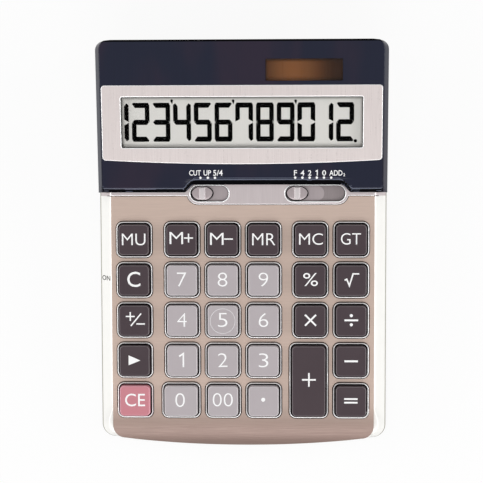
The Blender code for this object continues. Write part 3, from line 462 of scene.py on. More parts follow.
def turned(profile: Sequence[tuple[float, float]], centre: Sequence[float], sides: int = 48) -> Mesh:
    """A profile of radius and height turned round an upright axis."""
    return loft(np.stack([ring(disc(max(radius, 1e-5), centre, sides), height)
                          for radius, height in profile]))


def soft_min(*levels: np.ndarray, blend: float) -> np.ndarray:
    """The least of several surfaces with a rounded crease: -k log of the summed exp(-level / k)."""
    stack = np.stack(np.broadcast_arrays(*levels))
    lowest = stack.min(0)
    return lowest - blend * np.log(np.exp((lowest - stack) / blend).sum(0))


def ribbon_outline(points: np.ndarray, width: float) -> np.ndarray:
    """The outline of a band along a broken line, with mitred bends and square ends."""
    points = np.asarray(points, float)
    runs = np.diff(points, axis=0)
    runs /= np.linalg.norm(runs, axis=1)[:, None]
    before, after = np.vstack([runs[:1], runs]), np.vstack([runs, runs[-1:]])
    mean = before + after
    mean /= np.linalg.norm(mean, axis=1)[:, None]
    normal = np.column_stack([-mean[:, 1], mean[:, 0]])
    reach = width / 2 / np.maximum((mean * after).sum(1), 0.35)
    offset = normal * reach[:, None]
    return np.vstack([points - offset, (points + offset)[::-1]])


def bar(centre: Sequence[float], length: float, width: float, turn: float = 0.0) -> np.ndarray:
    """A rectangle about a centre, turned by an angle."""
    corners = np.array([[-1, -1], [1, -1], [1, 1], [-1, 1]]) * [length / 2, width / 2]
    cos, sin = math.cos(turn), math.sin(turn)
    return corners @ np.array([[cos, sin], [-sin, cos]]) + np.asarray(centre)


def cross(centre: Sequence[float], size: float, width: float, turn: float = 0.0) -> np.ndarray:
    """The twelve-cornered outline of a plus sign, turned by an angle."""
    arm, half = size / 2, width / 2
    quarter = np.array([[arm, -half], [arm, half], [half, half]])
    corners = np.vstack([quarter @ np.array([[c, s], [-s, c]])
                         for c, s in ((1, 0), (0, 1), (-1, 0), (0, -1))])
    cos, sin = math.cos(turn), math.sin(turn)
    return corners @ np.array([[cos, sin], [-sin, cos]]) + np.asarray(centre)


def lettering(text: str, centre: Sequence[float], width: float, height: float,
              thin: float = 0.0) -> Mesh:
    """Plain generic letters fitted to a box, from 0 to 1 in height.

    Args:
        text: the characters.
        centre: middle of the box.
        width: width of the box.
        height: height of the box.
        thin: how much thinner the strokes are, as a share of the type size.

    Returns:
        Points and faces.
    """
    curve = flat_curve("FONT", 1.0)
    curve.body, curve.offset, curve.resolution_u = text, -thin, 5
    points, faces = curve_mesh(curve)
    low, high = points.min(0), points.max(0)
    span = np.where(high - low > 1e-9, high - low, 1.0)
    unit = (points - (low + high) / 2) / span
    return unit * [width, height, 1.0] + [centre[0], centre[1], 0.5], faces


def lay_on(mesh: Mesh, level: float, thickness: float, plane: Plane) -> Mesh:
    """Lay a print of unit height on a plane, with its foot a little below.

    Args:
        mesh: points whose height runs from 0 to 1.
        level: height above the plane.
        thickness: height that the print stands proud.
        plane: the plane that carries it.

    Returns:
        Points in body coordinates, and faces.
    """
    height = level - PRINT_SINK + mesh[0][:, 2] * (thickness + PRINT_SINK)
    return plane.lift((ring(mesh[0][:, :2], height), mesh[1]))


def unit_prisms(loops: Sequence[np.ndarray]) -> Mesh:
    """Upright prisms from 0 to 1 in height."""
    return prisms(loops, 0.0, 1.0)


# ---- Finishes


def seen(red: int, green: int, blue: int) -> tuple[float, float, float, float]:
    """A colour as seen, 0 to 255, in linear light."""
    levels = np.array([red, green, blue]) / 255
    linear = np.where(levels <= 0.04045, levels / 12.92, ((levels + 0.055) / 1.055) ** 2.4)
    return (*linear.tolist(), 1.0)


class Wire:
    """An output of a shader node that Python's operators work on."""

    def __init__(self, paint: "Paint", socket: bpy.types.NodeSocket) -> None:
        self.paint, self.socket = paint, socket

    def maths(self, operation: str, *values: "Wire | float") -> "Wire":
        """A Math node with this value first."""
        return self.paint.node("ShaderNodeMath", {"operation": operation},
                               dict(enumerate((self, *values))))

    def __add__(self, other: "Wire | float") -> "Wire":
        return self.maths("ADD", other)

    __radd__ = __add__

    def __mul__(self, other: "Wire | float") -> "Wire":
        return self.maths("MULTIPLY", other)

    __rmul__ = __mul__

    def __sub__(self, other: "Wire | float") -> "Wire":
        return self.maths("SUBTRACT", other)

    def __rsub__(self, other: float) -> "Wire":
        return self.maths("MULTIPLY_ADD", -1.0, other)

    def ramp(self, low: float, high: float, start: float = 0.0, stop: float = 1.0) -> "Wire":
        """A smooth step from one value to another."""
        return self.paint.node("ShaderNodeMapRange", {"interpolation_type": "SMOOTHSTEP"},
                               {"Value": self, "From Min": low, "From Max": high,
                                "To Min": start, "To Max": stop})


class Paint:
    """A material being built round one Principled shader."""

    def __init__(self, name: str) -> None:
        self.result = bpy.data.materials.new(name)
        self.result.use_nodes = True
        self.tree = self.result.node_tree
        self.shader = self.tree.nodes["Principled BSDF"]

    @classmethod
    def of(cls, tree: bpy.types.NodeTree) -> "Paint":
        """A builder that works in a tree that is there already."""
        made = cls.__new__(cls)
        made.tree = tree
        return made

    def fill(self, target: bpy.types.NodeSocket, value: "Wire | float | Sequence[float]") -> None:
        """Link a wire to a socket, or set its value."""
        if isinstance(value, Wire):
            self.tree.links.new(value.socket, target)
        else:
            target.default_value = value

    def node(self, kind: str, settings: dict | None = None, inputs: dict | None = None,
             output: int | str = 0) -> Wire:
        """Add a node.

        Args:
            kind: the node's type.
            settings: its properties, set first.
            inputs: values or wires of its sockets, by name or number.
            output: the output to hand back.

        Returns:
            The output as a wire.
        """
        made = self.tree.nodes.new(kind)
        for key, value in (settings or {}).items():
            setattr(made, key, value)
        for key, value in (inputs or {}).items():
            self.fill(made.inputs[key], value)
        return Wire(self, made.outputs[output])

    def place(self, stretch: Sequence[float] = (1.0, 1.0, 1.0)) -> Wire:
        """Object coordinates, stretched along each axis."""
        spot = self.node("ShaderNodeTexCoord", output="Object")
        return self.node("ShaderNodeVectorMath", {"operation": "MULTIPLY"},
                         {0: spot, 1: tuple(stretch)})

    def axis(self, number: int) -> Wire:
        """One object coordinate."""
        return self.node("ShaderNodeSeparateXYZ", inputs={0: self.place()}, output=number)

    def noise(self, scale: float, detail: float = 3.0, stretch: Sequence[float] = (1, 1, 1),
              rough: float = 0.5) -> Wire:
        """Noise around 0.5, at a scale per metre."""
        return self.node("ShaderNodeTexNoise", {"noise_dimensions": "3D"},
                         {"Vector": self.place(stretch), "Scale": scale, "Detail": detail,
                          "Roughness": rough}, "Fac")

    def blend(self, share: "Wire | float", first: "Wire | tuple", second: "Wire | tuple") -> Wire:
        """Two colours mixed by a share."""
        made = self.tree.nodes.new("ShaderNodeMix")
        made.data_type = "RGBA"
        for number, value in ((0, share), (6, first), (7, second)):
            self.fill(made.inputs[number], value)
        return Wire(self, made.outputs[2])

    def bump(self, height: Wire, strength: float, depth: float) -> Wire:
        """A Bump node on a height."""
        return self.node("ShaderNodeBump", inputs={"Strength": strength, "Distance": depth,
                                                   "Height": height})

    def dress(self, sockets: dict) -> bpy.types.Material:
        """Set the shader's sockets and hand back the material."""
        for key, value in sockets.items():
            self.fill(self.shader.inputs[key], value)
        return self.result


@dataclass(frozen=True)
class Finish:
    """A finish; each kind says how it paints."""

    name: str
    colour: tuple[int, int, int]

    def material(self) -> bpy.types.Material:
        """The material, painted on first use."""
        return bpy.data.materials.get(self.name) or self.paint(Paint(self.name))

    def paint(self, paint: Paint) -> bpy.types.Material:
        """Paint the material."""
        raise NotImplementedError

    def varied(self, paint: Paint, share: Wire, spread: float) -> Wire:
        """The colour, made darker or lighter by a share of its level."""
        base = np.array(seen(*self.colour))
        low, high = base * (1 - spread), base * (1 + spread)
        return paint.blend(share, (*low[:3].tolist(), 1.0), (*np.minimum(high[:3], 1).tolist(), 1.0))


class Grain(Enum):
    """The way that brush lines run, as the stretch of the noise along each axis."""

    ACROSS = (0.012, 1.0, 1.0)
    ALONG = (1.0, 0.012, 0.012)


@dataclass(frozen=True)
class BrushedMetal(Finish):
    """Fine straight brush lines in metal under a clear lacquer."""

    grain: Grain = Grain.ACROSS
    roughness: float = 0.34
    metallic: float = 0.85
    spread: float = 0.05
    roll_shade_colour: tuple[int, ...] = ()

    def paint(self, paint: Paint) -> bpy.types.Material:
        """Long fine noise for the lines, a longer one for cloudiness."""
        lines = paint.noise(5200, 2.0, self.grain.value, 0.6)
        clouds = paint.noise(60, 2.0, self.grain.value)
        dust = paint.noise(900, 2.0)
        share = lines.ramp(0.3, 0.7) * 0.8 + clouds * 0.2
        tint = self.varied(paint, share, self.spread)
        # painted shade: the plate darkens to this colour over the front roll
        if self.roll_shade_colour:
            ahead = paint.axis(1).ramp(BODY.roll_start - 0.0085, BODY.roll_start + 0.012, 1.0, 0.0)
            tint = paint.blend(ahead * (share * 0.3 + 0.85), tint, seen(*self.roll_shade_colour))
        return paint.dress({
            "Base Color": tint,
            "Roughness": (lines - 0.5) * 0.12 + (dust - 0.5) * 0.06 + self.roughness,
            "Metallic": self.metallic, "Coat Weight": 0.15, "Coat Roughness": 0.2,
            "Normal": paint.bump(lines, 0.12, 0.00002)})


@dataclass(frozen=True)
class PearlPaint(Finish):
    """Pale metallic paint on plastic, with a fine flake and a soft lacquer."""

    edge_colour: tuple[int, int, int] = (150, 148, 134)
    edge: float = -1.0

    def paint(self, paint: Paint) -> bpy.types.Material:
        """Fine flake in colour and bump, and a darker line along the parting edge."""
        flake = paint.noise(9000, 1.0)
        wear = paint.noise(180, 3.0)
        tint = self.varied(paint, flake * 0.6 + wear * 0.4, 0.035)
        if self.edge > -1:
            level = paint.axis(2) - paint.axis(1) * math.tan(DECK.slope)
            line = level.ramp(self.edge, self.edge + 0.0004, 1.0, 0.0)
            tint = paint.blend(line, tint, seen(*self.edge_colour))
        return paint.dress({
            "Base Color": tint, "Roughness": (flake - 0.5) * 0.1 + (wear - 0.5) * 0.08 + 0.34,
            "Metallic": 0.1, "Coat Weight": 0.3, "Coat Roughness": 0.12,
            "Normal": paint.bump(flake, 0.08, 0.00001)})


@dataclass(frozen=True)
class MouldedPlastic(Finish):
    """Plastic with the fine spark-eroded grain of its mould."""

    roughness: float = 0.45
    grain: float = 0.2
    polish: float = 0.45

    def paint(self, paint: Paint) -> bpy.types.Material:
        """Grain in the bump, wear and finger sheen in the roughness."""
        grain = paint.noise(4200, 3.0, rough=0.6)
        patches = paint.noise(95, 2.0)
        return paint.dress({
            "Base Color": self.varied(paint, grain * 0.5 + patches * 0.5, 0.06),
            "Roughness": (patches - 0.5) * 0.16 + (grain - 0.5) * 0.08 + self.roughness,
            "Specular IOR Level": self.polish,
            "Normal": paint.bump(grain, self.grain, 0.00004)})


@dataclass(frozen=True)
class CoverGloss(Finish):
    """Deep blue-black gloss with faint aubergine patches, dust and wiping marks."""

    patch: tuple[int, int, int] = (50, 34, 50)
    polish: float = 0.22

    def paint(self, paint: Paint) -> bpy.types.Material:
        """Broad upright patches in the colour, wiping marks in the roughness."""
        patches = paint.noise(26, 2.0, (1.6, 0.5, 0.5)).ramp(0.46, 0.68)
        streaks = paint.noise(2600, 2.0, Grain.ALONG.value)
        marks = paint.noise(420, 4.0, (0.4, 1.0, 1.0), 0.7)
        tint = paint.blend(patches * 0.5, self.varied(paint, streaks, 0.12), seen(*self.patch))
        return paint.dress({
            "Base Color": tint, "Roughness": marks.ramp(0.45, 0.8, 0.05, 0.13),
            "Specular IOR Level": self.polish, "Normal": paint.bump(marks, 0.02, 0.00002)})


@dataclass(frozen=True)
class Print(Finish):
    """Printed or inlaid ink with a slightly uneven edge of gloss."""

    roughness: float = 0.4
    polish: float = 0.08

    def paint(self, paint: Paint) -> bpy.types.Material:
        """Slight mottling in the ink."""
        mottle = paint.noise(2400, 2.0)
        return paint.dress({"Base Color": self.varied(paint, mottle, 0.04),
                            "Specular IOR Level": self.polish,
                            "Roughness": (mottle - 0.5) * 0.15 + self.roughness,
                            "Normal": paint.bump(mottle, 0.05, 0.00002)})


@dataclass(frozen=True)
class DisplayGlass(Finish):
    """The pale reflector of the display, faintly mottled, with a painted shadow of the bezel along its
    upper, left and right edges.
    """

    def paint(self, paint: Paint) -> bpy.types.Material:
        """Fine mottling, and a painted shadow of the bezel that falls off below its upper, left and
        right edges.
        """
        low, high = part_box("display_window")
        mottle = paint.noise(3600, 3.0)
        broad = paint.noise(22, 2.0)
        upper = paint.axis(1).ramp(high.y - 0.0034, high.y - 0.0018)
        left = paint.axis(0).ramp(low.x + 0.0018, low.x + 0.0034, 1.0, 0.0)
        right = paint.axis(0).ramp(high.x - 0.0032, high.x - 0.0020, 0.0, 0.6)
        # painted shadow: darker towards the upper, left and right edges of the window
        shade = upper.maths("MAXIMUM", left).maths("MAXIMUM", right) * 0.55
        tint = self.varied(paint, mottle * 0.3 + broad * 0.7, 0.03)
        return paint.dress({"Base Color": paint.blend(shade, tint, seen(96, 96, 90)),
                            "Roughness": (mottle - 0.5) * 0.1 + 0.4,
                            "Specular IOR Level": 0.15,
                            "Normal": paint.bump(mottle, 0.03, 0.00002)})


@dataclass(frozen=True)
class SolarFilm(Finish):
    """Brown solar film: cells with thin lines between them, a warm painted sheen at the left, and
    painted shade along its upper and left edges.
    """

    glow: tuple[int, int, int] = (158, 102, 60)

    def paint(self, paint: Paint) -> bpy.types.Material:
        """A painted sheen across the film, thin upright lines every quarter of its width, and painted
        shade below its upper and left edges.
        """
        low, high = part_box("solar_cell")
        across = (paint.axis(0) - low.x) * (1 / (high.x - low.x))
        middle = (across - 0.36).maths("ABSOLUTE")
        line = ((across * 4).maths("FRACT") - 0.5).maths("ABSOLUTE").ramp(0.485, 0.495)
        grain = paint.noise(1800, 3.0, Grain.ALONG.value)
        # painted sheen: lighter towards the left of the middle
        tint = paint.blend(middle.ramp(0.0, 0.52, 1.0, 0.0), self.varied(paint, grain, 0.06),
                           seen(*self.glow))
        # painted shade along the upper and left edges; the cell lines are the film's own
        upper = paint.axis(1).ramp(high.y - 0.0042, high.y - 0.0027)
        left = paint.axis(0).ramp(low.x + 0.0018, low.x + 0.0034, 1.0, 0.0)
        dark = upper.maths("MAXIMUM", left).maths("MAXIMUM", line * 0.4) * 0.75
        return paint.dress({"Base Color": paint.blend(dark, tint, seen(30, 18, 12)),
                            "Roughness": grain * 0.12 + 0.22, "Specular IOR Level": 0.15,
                            "Normal": paint.bump(grain, 0.04, 0.00002)})


@dataclass(frozen=True)
class ClearPane(Finish):
    """Clear acrylic, seen mostly through its reflections, with faint dust."""

    alpha: float = 0.10

    def paint(self, paint: Paint) -> bpy.types.Material:
        """A nearly clear sheet whose roughness carries dust."""
        dust = paint.noise(800, 4.0, rough=0.7)
        return paint.dress({"Base Color": self.varied(paint, dust, 0.02), "Alpha": self.alpha,
                            "Roughness": dust.ramp(0.5, 0.8, 0.02, 0.10),
                            "Normal": paint.bump(dust, 0.01, 0.00001)})


@dataclass(frozen=True)
class Rubber(Finish):
    """Matt rubber with a fine pebbled skin."""

    def paint(self, paint: Paint) -> bpy.types.Material:
        """Pebbles in bump and roughness."""
        pebbles = paint.noise(2600, 3.0)
        return paint.dress({"Base Color": self.varied(paint, pebbles, 0.15),
                            "Roughness": (pebbles - 0.5) * 0.1 + 0.8,
                            "Specular IOR Level": 0.3,
                            "Normal": paint.bump(pebbles, 0.3, 0.00006)})


@dataclass(frozen=True)
class PlatedSteel(Finish):
    """Plated steel with fine turning and handling marks."""

    roughness: float = 0.28

    def paint(self, paint: Paint) -> bpy.types.Material:
        """Scratches in roughness and bump."""
        marks = paint.noise(2200, 4.0, (0.3, 1.0, 1.0), 0.65)
        return paint.dress({"Base Color": self.varied(paint, marks, 0.08), "Metallic": 1.0,
                            "Roughness": (marks - 0.5) * 0.2 + self.roughness,
                            "Normal": paint.bump(marks, 0.05, 0.00002)})


EDGE_LEVEL = BODY.deck.z - BODY.parting + 0.0003
# the flanks' near-white colour is partly their pale paint and partly a painted highlight of the light
# they catch
FLANK_PAINT = PearlPaint("flank_paint", (250, 249, 245), edge=EDGE_LEVEL)
RIM_METAL = BrushedMetal("rim_metal", (206, 192, 183), roughness=0.3, metallic=0.75)
# painted highlight: near-white for edges, rims and bevels that catch the light
EDGE_HIGHLIGHT = BrushedMetal("edge_painted_highlight", (252, 251, 252), roughness=0.24, metallic=0.4,
                           spread=0.02)
# its front roll is darkened by painted shade
PLATE_METAL = BrushedMetal("plate_metal", (195, 174, 162), roughness=0.45, metallic=0.5,
                           roll_shade_colour=(130, 108, 100))
PANEL_METAL = BrushedMetal("panel_metal_lines", (199, 189, 190), grain=Grain.ALONG)
FRAME_METAL = BrushedMetal("frame_metal", (221, 211, 209), grain=Grain.ALONG, roughness=0.3)
KNOB_METAL = BrushedMetal("knob_metal_lines", (172, 161, 163), grain=Grain.ALONG, metallic=0.6)
# painted highlight: a lighter colour for the knobs' raised ridge
RIDGE_HIGHLIGHT = BrushedMetal("ridge_painted_highlight", (204, 197, 198), grain=Grain.ALONG, roughness=0.5,
                           metallic=0.3)
LEAF_METAL = BrushedMetal("leaf_metal", (170, 159, 161), grain=Grain.ALONG, metallic=0.5)
# darker than the panel: painted shade in the slots' recess over the floor's metal
SLOT_FLOOR_SHADE = BrushedMetal("slot_floor_painted_shade", (144, 134, 135), grain=Grain.ALONG, metallic=0.4)
COVER = CoverGloss("cover_gloss_deep", (24, 28, 48))
# painted shade: near-black for the cover's lip and rear edge, where they turn away
LIP_SHADE = CoverGloss("cover_lip_painted_shade", (4, 4, 7), patch=(6, 5, 7), polish=0.03)
# painted highlight: a pale line along the crease above the lip
CREASE_HIGHLIGHT = CoverGloss("cover_crease_painted_highlight", (88, 94, 112), patch=(96, 92, 112), polish=0.1)
# near-black painted shade, laid where gaps, wells and slots fall into shadow
GAP_SHADE = MouldedPlastic("gap_painted_shade", (7, 6, 7), 0.6, polish=0.04)
DARK_KEY = MouldedPlastic("dark_key_plastic", (66, 54, 59), 0.4, polish=0.3)
LIGHT_KEY = MouldedPlastic("light_key_plastic", (181, 173, 176), 0.4, polish=0.35)
PINK_KEY = MouldedPlastic("pink_key_plastic", (201, 130, 140), 0.4, polish=0.35)
# deck skin, seen only in the gaps round the plate: its dark colour is painted shade in those gaps
DECK_SKIN_SHADE = MouldedPlastic("deck_skin_painted_shade", (50, 46, 44), 0.5, polish=0.2)
BASE_PLASTIC = MouldedPlastic("base_plastic", (196, 188, 180), 0.52, 0.35)
WHITE_INK = Print("white_ink", (255, 255, 255), 0.4)
GREY_INK = Print("grey_ink", (40, 38, 34), 0.5)
SEGMENT_INK = Print("segment_ink", (4, 4, 4), 0.5, 0.0)
PANE = ClearPane("clear_pane_sheet", (20, 21, 20), 0.035)
SMOKED_PANE = ClearPane("smoked_pane_sheet", (44, 28, 18), 0.14)
NODE_FINISHES = {
    "display_window": PANE,
    "solar_window": SMOKED_PANE,
    "display_panel": DisplayGlass("display_reflector", (231, 229, 224)),
    "solar_cell": SolarFilm("solar_film", (62, 36, 20)),
    "key_mat": Rubber("mat_silicone", (150, 152, 150)),
    "circuit_board": MouldedPlastic("board_mask", (36, 84, 52), 0.4),
    "display_ribbon": MouldedPlastic("ribbon_amber", (176, 130, 70), 0.35, 0.05),
    "button_cell": PlatedSteel("cell_can", (196, 196, 194)),
    "contact_top": PlatedSteel("contact_spring", (184, 180, 168)),
    "contact_side": PlatedSteel("contact_spring", (184, 180, 168)),
}


# ---- Lower body


@dataclass
class CaseShell:
    """Top case: leaning flanks, front roll, and deck skin with its wells."""

    crease: float = 0.0005
    flank_reach: float = 0.0079
    front_reach: float = 0.0127
    edge_fillet: float = 0.00025
    wall: float = 0.0014
    skin: float = 0.0018
    skin_drop: float = 0.00005
    skin_lap: float = 0.0011
    tongue: float = 0.0078
    rings: int = 30

    def path(self) -> tuple[np.ndarray, np.ndarray]:
        """The parting edge in plan, from the rear left round the bowed front.

        Each side is straight, each corner a quarter circle, and the front a parabola.

        Returns:
            Points along the edge, and the share of flank at each: 1 at the sides, 0 at
            the front, the squared cosine of the turn in between.
        """
        half, bow, radius = BODY.half, BODY.bow, BODY.front_radius
        front, rear = BODY.deck_front, BODY.deck_rear - BODY.fit
        reach, centre = half - radius, front + bow + radius
        side = np.linspace(rear, centre, 26)[:-1]
        turn = np.linspace(0, math.pi / 2, 17)
        corner = np.column_stack([-reach - radius * np.cos(turn), centre - radius * np.sin(turn)])
        across = np.linspace(-reach, 0, 30)[1:]
        front_edge = np.column_stack([across, front + bow * (across / reach) ** 2])
        left = np.vstack([np.column_stack([np.full(25, -half), side]), corner, front_edge])
        fade = np.clip((reach + across) / 0.014, 0, 1)
        share = np.concatenate([np.ones(25), 1 - 0.62 * np.sin(turn) ** 2, 0.38 * (1 - fade) ** 2])
        path = np.vstack([left, left[-2::-1] * [-1, 1]])
        return path, np.concatenate([share, share[-2::-1]])

    def roll(self, along: np.ndarray) -> np.ndarray:
        """Drop of the deck at its front: a quarter ellipse, z = -drop (1 - cos), y by sin."""
        sine = np.clip((BODY.roll_start - along) / BODY.roll_run, 0, 1)
        return -BODY.roll_drop * (1 - np.sqrt(1 - sine ** 2))

    def surface(self) -> np.ndarray:
        """The visible border: lines drawn inwards from the parting edge, lifted by height.

        Height is the soft least of the front roll and of a flank that rises in a straight
        line from the parting edge over the flank's width there.
        """
        path, share = self.path()
        rear = BODY.deck_rear - BODY.fit
        scale = np.array([(BODY.half - self.flank_reach) / BODY.half,
                          1 - self.front_reach / (rear - BODY.deck_front)])
        inner = np.array([0.0, rear]) + (path - [0.0, rear]) * scale
        run = np.gradient(path, axis=0)
        normal = np.column_stack([-run[:, 1], run[:, 0]])
        normal /= np.linalg.norm(normal, axis=1)[:, None]
        normal *= np.sign(((inner - path) * normal).sum(1))[:, None]
        steps = np.linspace(0, 1, self.rings) ** 1.35
        place = path + steps[:, None, None] * (inner - path)
        depth = ((place - path) * normal).sum(-1)
        width = 0.0004 + (BODY.flank_width - 0.0004) * share
        flank = -BODY.parting + BODY.parting * depth / width
        height = soft_min(self.roll(place[..., 1]), flank, blend=self.crease)
        height = np.clip(height, -BODY.parting + self.edge_fillet, 0)
        inset = path + normal * self.edge_fillet
        low = np.full(len(path), -BODY.parting)
        foot = np.dstack([inset[None], low[None, :, None]])
        return np.concatenate([foot, np.dstack([place, height])])

    def build(self) -> None:
        """The border shell, which stands for the top case."""
        points = self.surface()
        faces = grid_faces(len(points), points.shape[1], wrap_columns=False)
        make("case_shell", (DECK.world(points).reshape(-1, 3), faces), FLANK_PAINT,
             replaces=["top_case"], closed=False, wall=self.wall, angle=50)

    def build_skin(self, wells: list[np.ndarray], stems: list[np.ndarray]) -> None:
        """The deck skin under the plate, with a well for each key and two stem slots.

        Args:
            wells: outlines of the key wells.
            stems: outlines of the two stem slots.
        """
        half = BODY.half - self.flank_reach + self.skin_lap - 0.0004
        front = BODY.deck_front + self.front_reach - self.skin_lap
        rear = BODY.deck_rear + self.tongue
        outline = np.array([[-half, front], [half, front], [half, rear], [-half, rear]])
        mesh = sheet([outline, *wells, *stems], -self.skin, -self.skin_drop)
        # the skin's dark colour is painted shade in the gaps
        make("deck_skin", DECK.lift(mesh), DECK_SKIN_SHADE, angle=12)


@dataclass
class Faceplate:
    """Thin brushed plate on the deck, rolled over the front, with a hole for each rim."""

    thickness: float = 0.0006
    setback: float = 0.0005
    rear_gap: float = 0.0021
    bevel: float = 0.0001
    stations: int = 22

    @property
    def middle(self) -> float:
        """Height of the plate's middle surface above the deck."""
        return BODY.fit + self.thickness / 2

    def outline(self, panel: "SwitchPanel") -> np.ndarray:
        """The plate's plan: the body's front narrowed to between the flanks.

        Its rear edge dips round the wide part of the switch panel.

        Args:
            panel: the switch panel.

        Returns:
            Points of the outline, from the rear left.
        """
        half, bow, radius = BODY.half, BODY.bow, BODY.front_radius
        squeeze = (half - BODY.flank_width - BODY.fit) / half
        front, reach = BODY.deck_front + self.setback, half - radius
        rear = BODY.deck_rear - self.rear_gap
        turn = np.linspace(0, math.pi / 2, 13)
        across = np.linspace(-reach, reach, 49)[1:-1]
        left = np.column_stack([-reach - radius * np.cos(turn),
                                front + bow + radius - radius * np.sin(turn)])
        middle = np.column_stack([across, front + bow * (across / reach) ** 2])
        front_edge = np.vstack([left, middle, left[::-1] * [-1, 1], [[half, rear]]])
        return np.vstack([front_edge * [squeeze, 1], panel.notch(rear, BODY.fit),
                          [[-half * squeeze, rear]]])

    def roll_table(self) -> tuple[np.ndarray, np.ndarray]:
        """Turn of the roll's ellipse, and the way along it to each turn."""
        turn = np.linspace(0, math.pi / 2, 200)
        step = np.hypot(np.diff((BODY.roll_run + self.middle) * np.sin(turn)),
                        np.diff((BODY.roll_drop + self.middle) * (1 - np.cos(turn))))
        return turn, np.concatenate([[0], np.cumsum(step)])

    def unrolled(self, loop: np.ndarray) -> np.ndarray:
        """An outline of the plan with its front laid out flat, by the way along the roll."""
        turn, way = self.roll_table()
        sine = np.clip((BODY.roll_start - loop[:, 1]) / (BODY.roll_run + self.middle), 0, 1)
        ahead = np.interp(np.arcsin(sine), turn, way)
        along = np.where(sine > 0, BODY.roll_start - ahead, loop[:, 1])
        return np.column_stack([loop[:, 0], along])

    def build(self, panel: "SwitchPanel", holes: list[np.ndarray]) -> None:
        """The plate: cut flat, then its front bent round the roll.

        Args:
            panel: the switch panel that its rear edge goes round.
            holes: outlines round the rims of the keys.
        """
        bottom = BODY.fit
        points, faces = sheet([self.unrolled(self.outline(panel)), *holes], bottom,
                              bottom + self.thickness, self.bevel)
        points, faces = self.sliced(points, faces)
        turn, way = self.roll_table()
        angle = np.interp(BODY.roll_start - points[:, 1], way, turn)
        height = points[:, 2]
        bent = np.column_stack([points[:, 0],
                                BODY.roll_start - (BODY.roll_run + height) * np.sin(angle),
                                height - (BODY.roll_drop + height) * (1 - np.cos(angle))])
        flat = (points[:, 1] >= BODY.roll_start)[:, None]
        make("brushed_faceplate", (DECK.world(np.where(flat, points, bent)), faces), PLATE_METAL,
             replaces=["faceplate"], angle=12)

    def sliced(self, points: np.ndarray, faces: Faces) -> Mesh:
        """The flat plate cut across at each station of the roll, so that it can bend."""
        data = bpy.data.meshes.new("slices")
        data.from_pydata(points.tolist(), [], faces)
        bm = bmesh.new()
        bm.from_mesh(data)
        bmesh.ops.remove_doubles(bm, verts=bm.verts, dist=1e-7)
        front = points[:, 1].min()
        for share in np.linspace(0, 1, self.stations)[:-1]:
            at = BODY.roll_start + (front - BODY.roll_start) * float(share)
            everything = [*bm.verts, *bm.edges, *bm.faces]
            bmesh.ops.bisect_plane(bm, geom=everything, plane_co=(0, at, 0), plane_no=(0, 1, 0))
        bm.to_mesh(data)
        bm.free()
        result = mesh_parts(data)
        bpy.data.meshes.remove(data)
        return result


# ---- Keys


class KeyColour(Enum):
    """The three colours of key caps."""

    DARK = DARK_KEY
    LIGHT = LIGHT_KEY
    PINK = PINK_KEY


# lighter colours for the caps' rounded edges: a painted highlight along them
KEY_EDGE_HIGHLIGHTS = {KeyColour.DARK: MouldedPlastic("dark_key_edge_highlight", (104, 95, 99), 0.35),
             KeyColour.LIGHT: MouldedPlastic("light_key_edge_highlight", (212, 208, 210), 0.35),
             KeyColour.PINK: MouldedPlastic("pink_key_edge_highlight", (232, 168, 180), 0.35)}


@dataclass(frozen=True)
class Legend:
    """What a key shows: letters fitted to a box, or outlines drawn in millimetres."""

    text: str = ""
    width: float = 0.0
    height: float = 0.0
    shift_x: float = 0.0
    shift_y: float = 0.0
    thin: float = 0.004
    shapes: tuple = ()

    def mesh(self) -> Mesh:
        """The legend about the key's middle, from 0 to 1 in height."""
        middle = (self.shift_x * 0.001, self.shift_y * 0.001)
        meshes = [unit_prisms([shape * 0.001]) for shape in self.shapes]
        if self.text:
            meshes.append(lettering(self.text, middle, self.width * 0.001, self.height * 0.001,
                                    self.thin))
        return join(meshes)


def digit_legend(text: str, width: float = 4.7) -> Legend:
    """A large thin figure; the one is drawn, because the letters have it as a plain bar."""
    if text == "1":
        return Legend(shapes=(one_outline(0.72) * 6.9 + np.array([-0.1, 0.5]),))
    return Legend(text, width, 6.9, -0.4 if text == "0" else 0.0, 0.55, 0.014)


def one_outline(width: float) -> np.ndarray:
    """A figure one of unit height: an upright with a short flag, both of a stroke's width."""
    stroke = 0.125 * width / 0.78
    return ribbon_outline(np.array([[-0.2, 0.27], [0.1, 0.47], [0.1, -0.5]]), stroke)


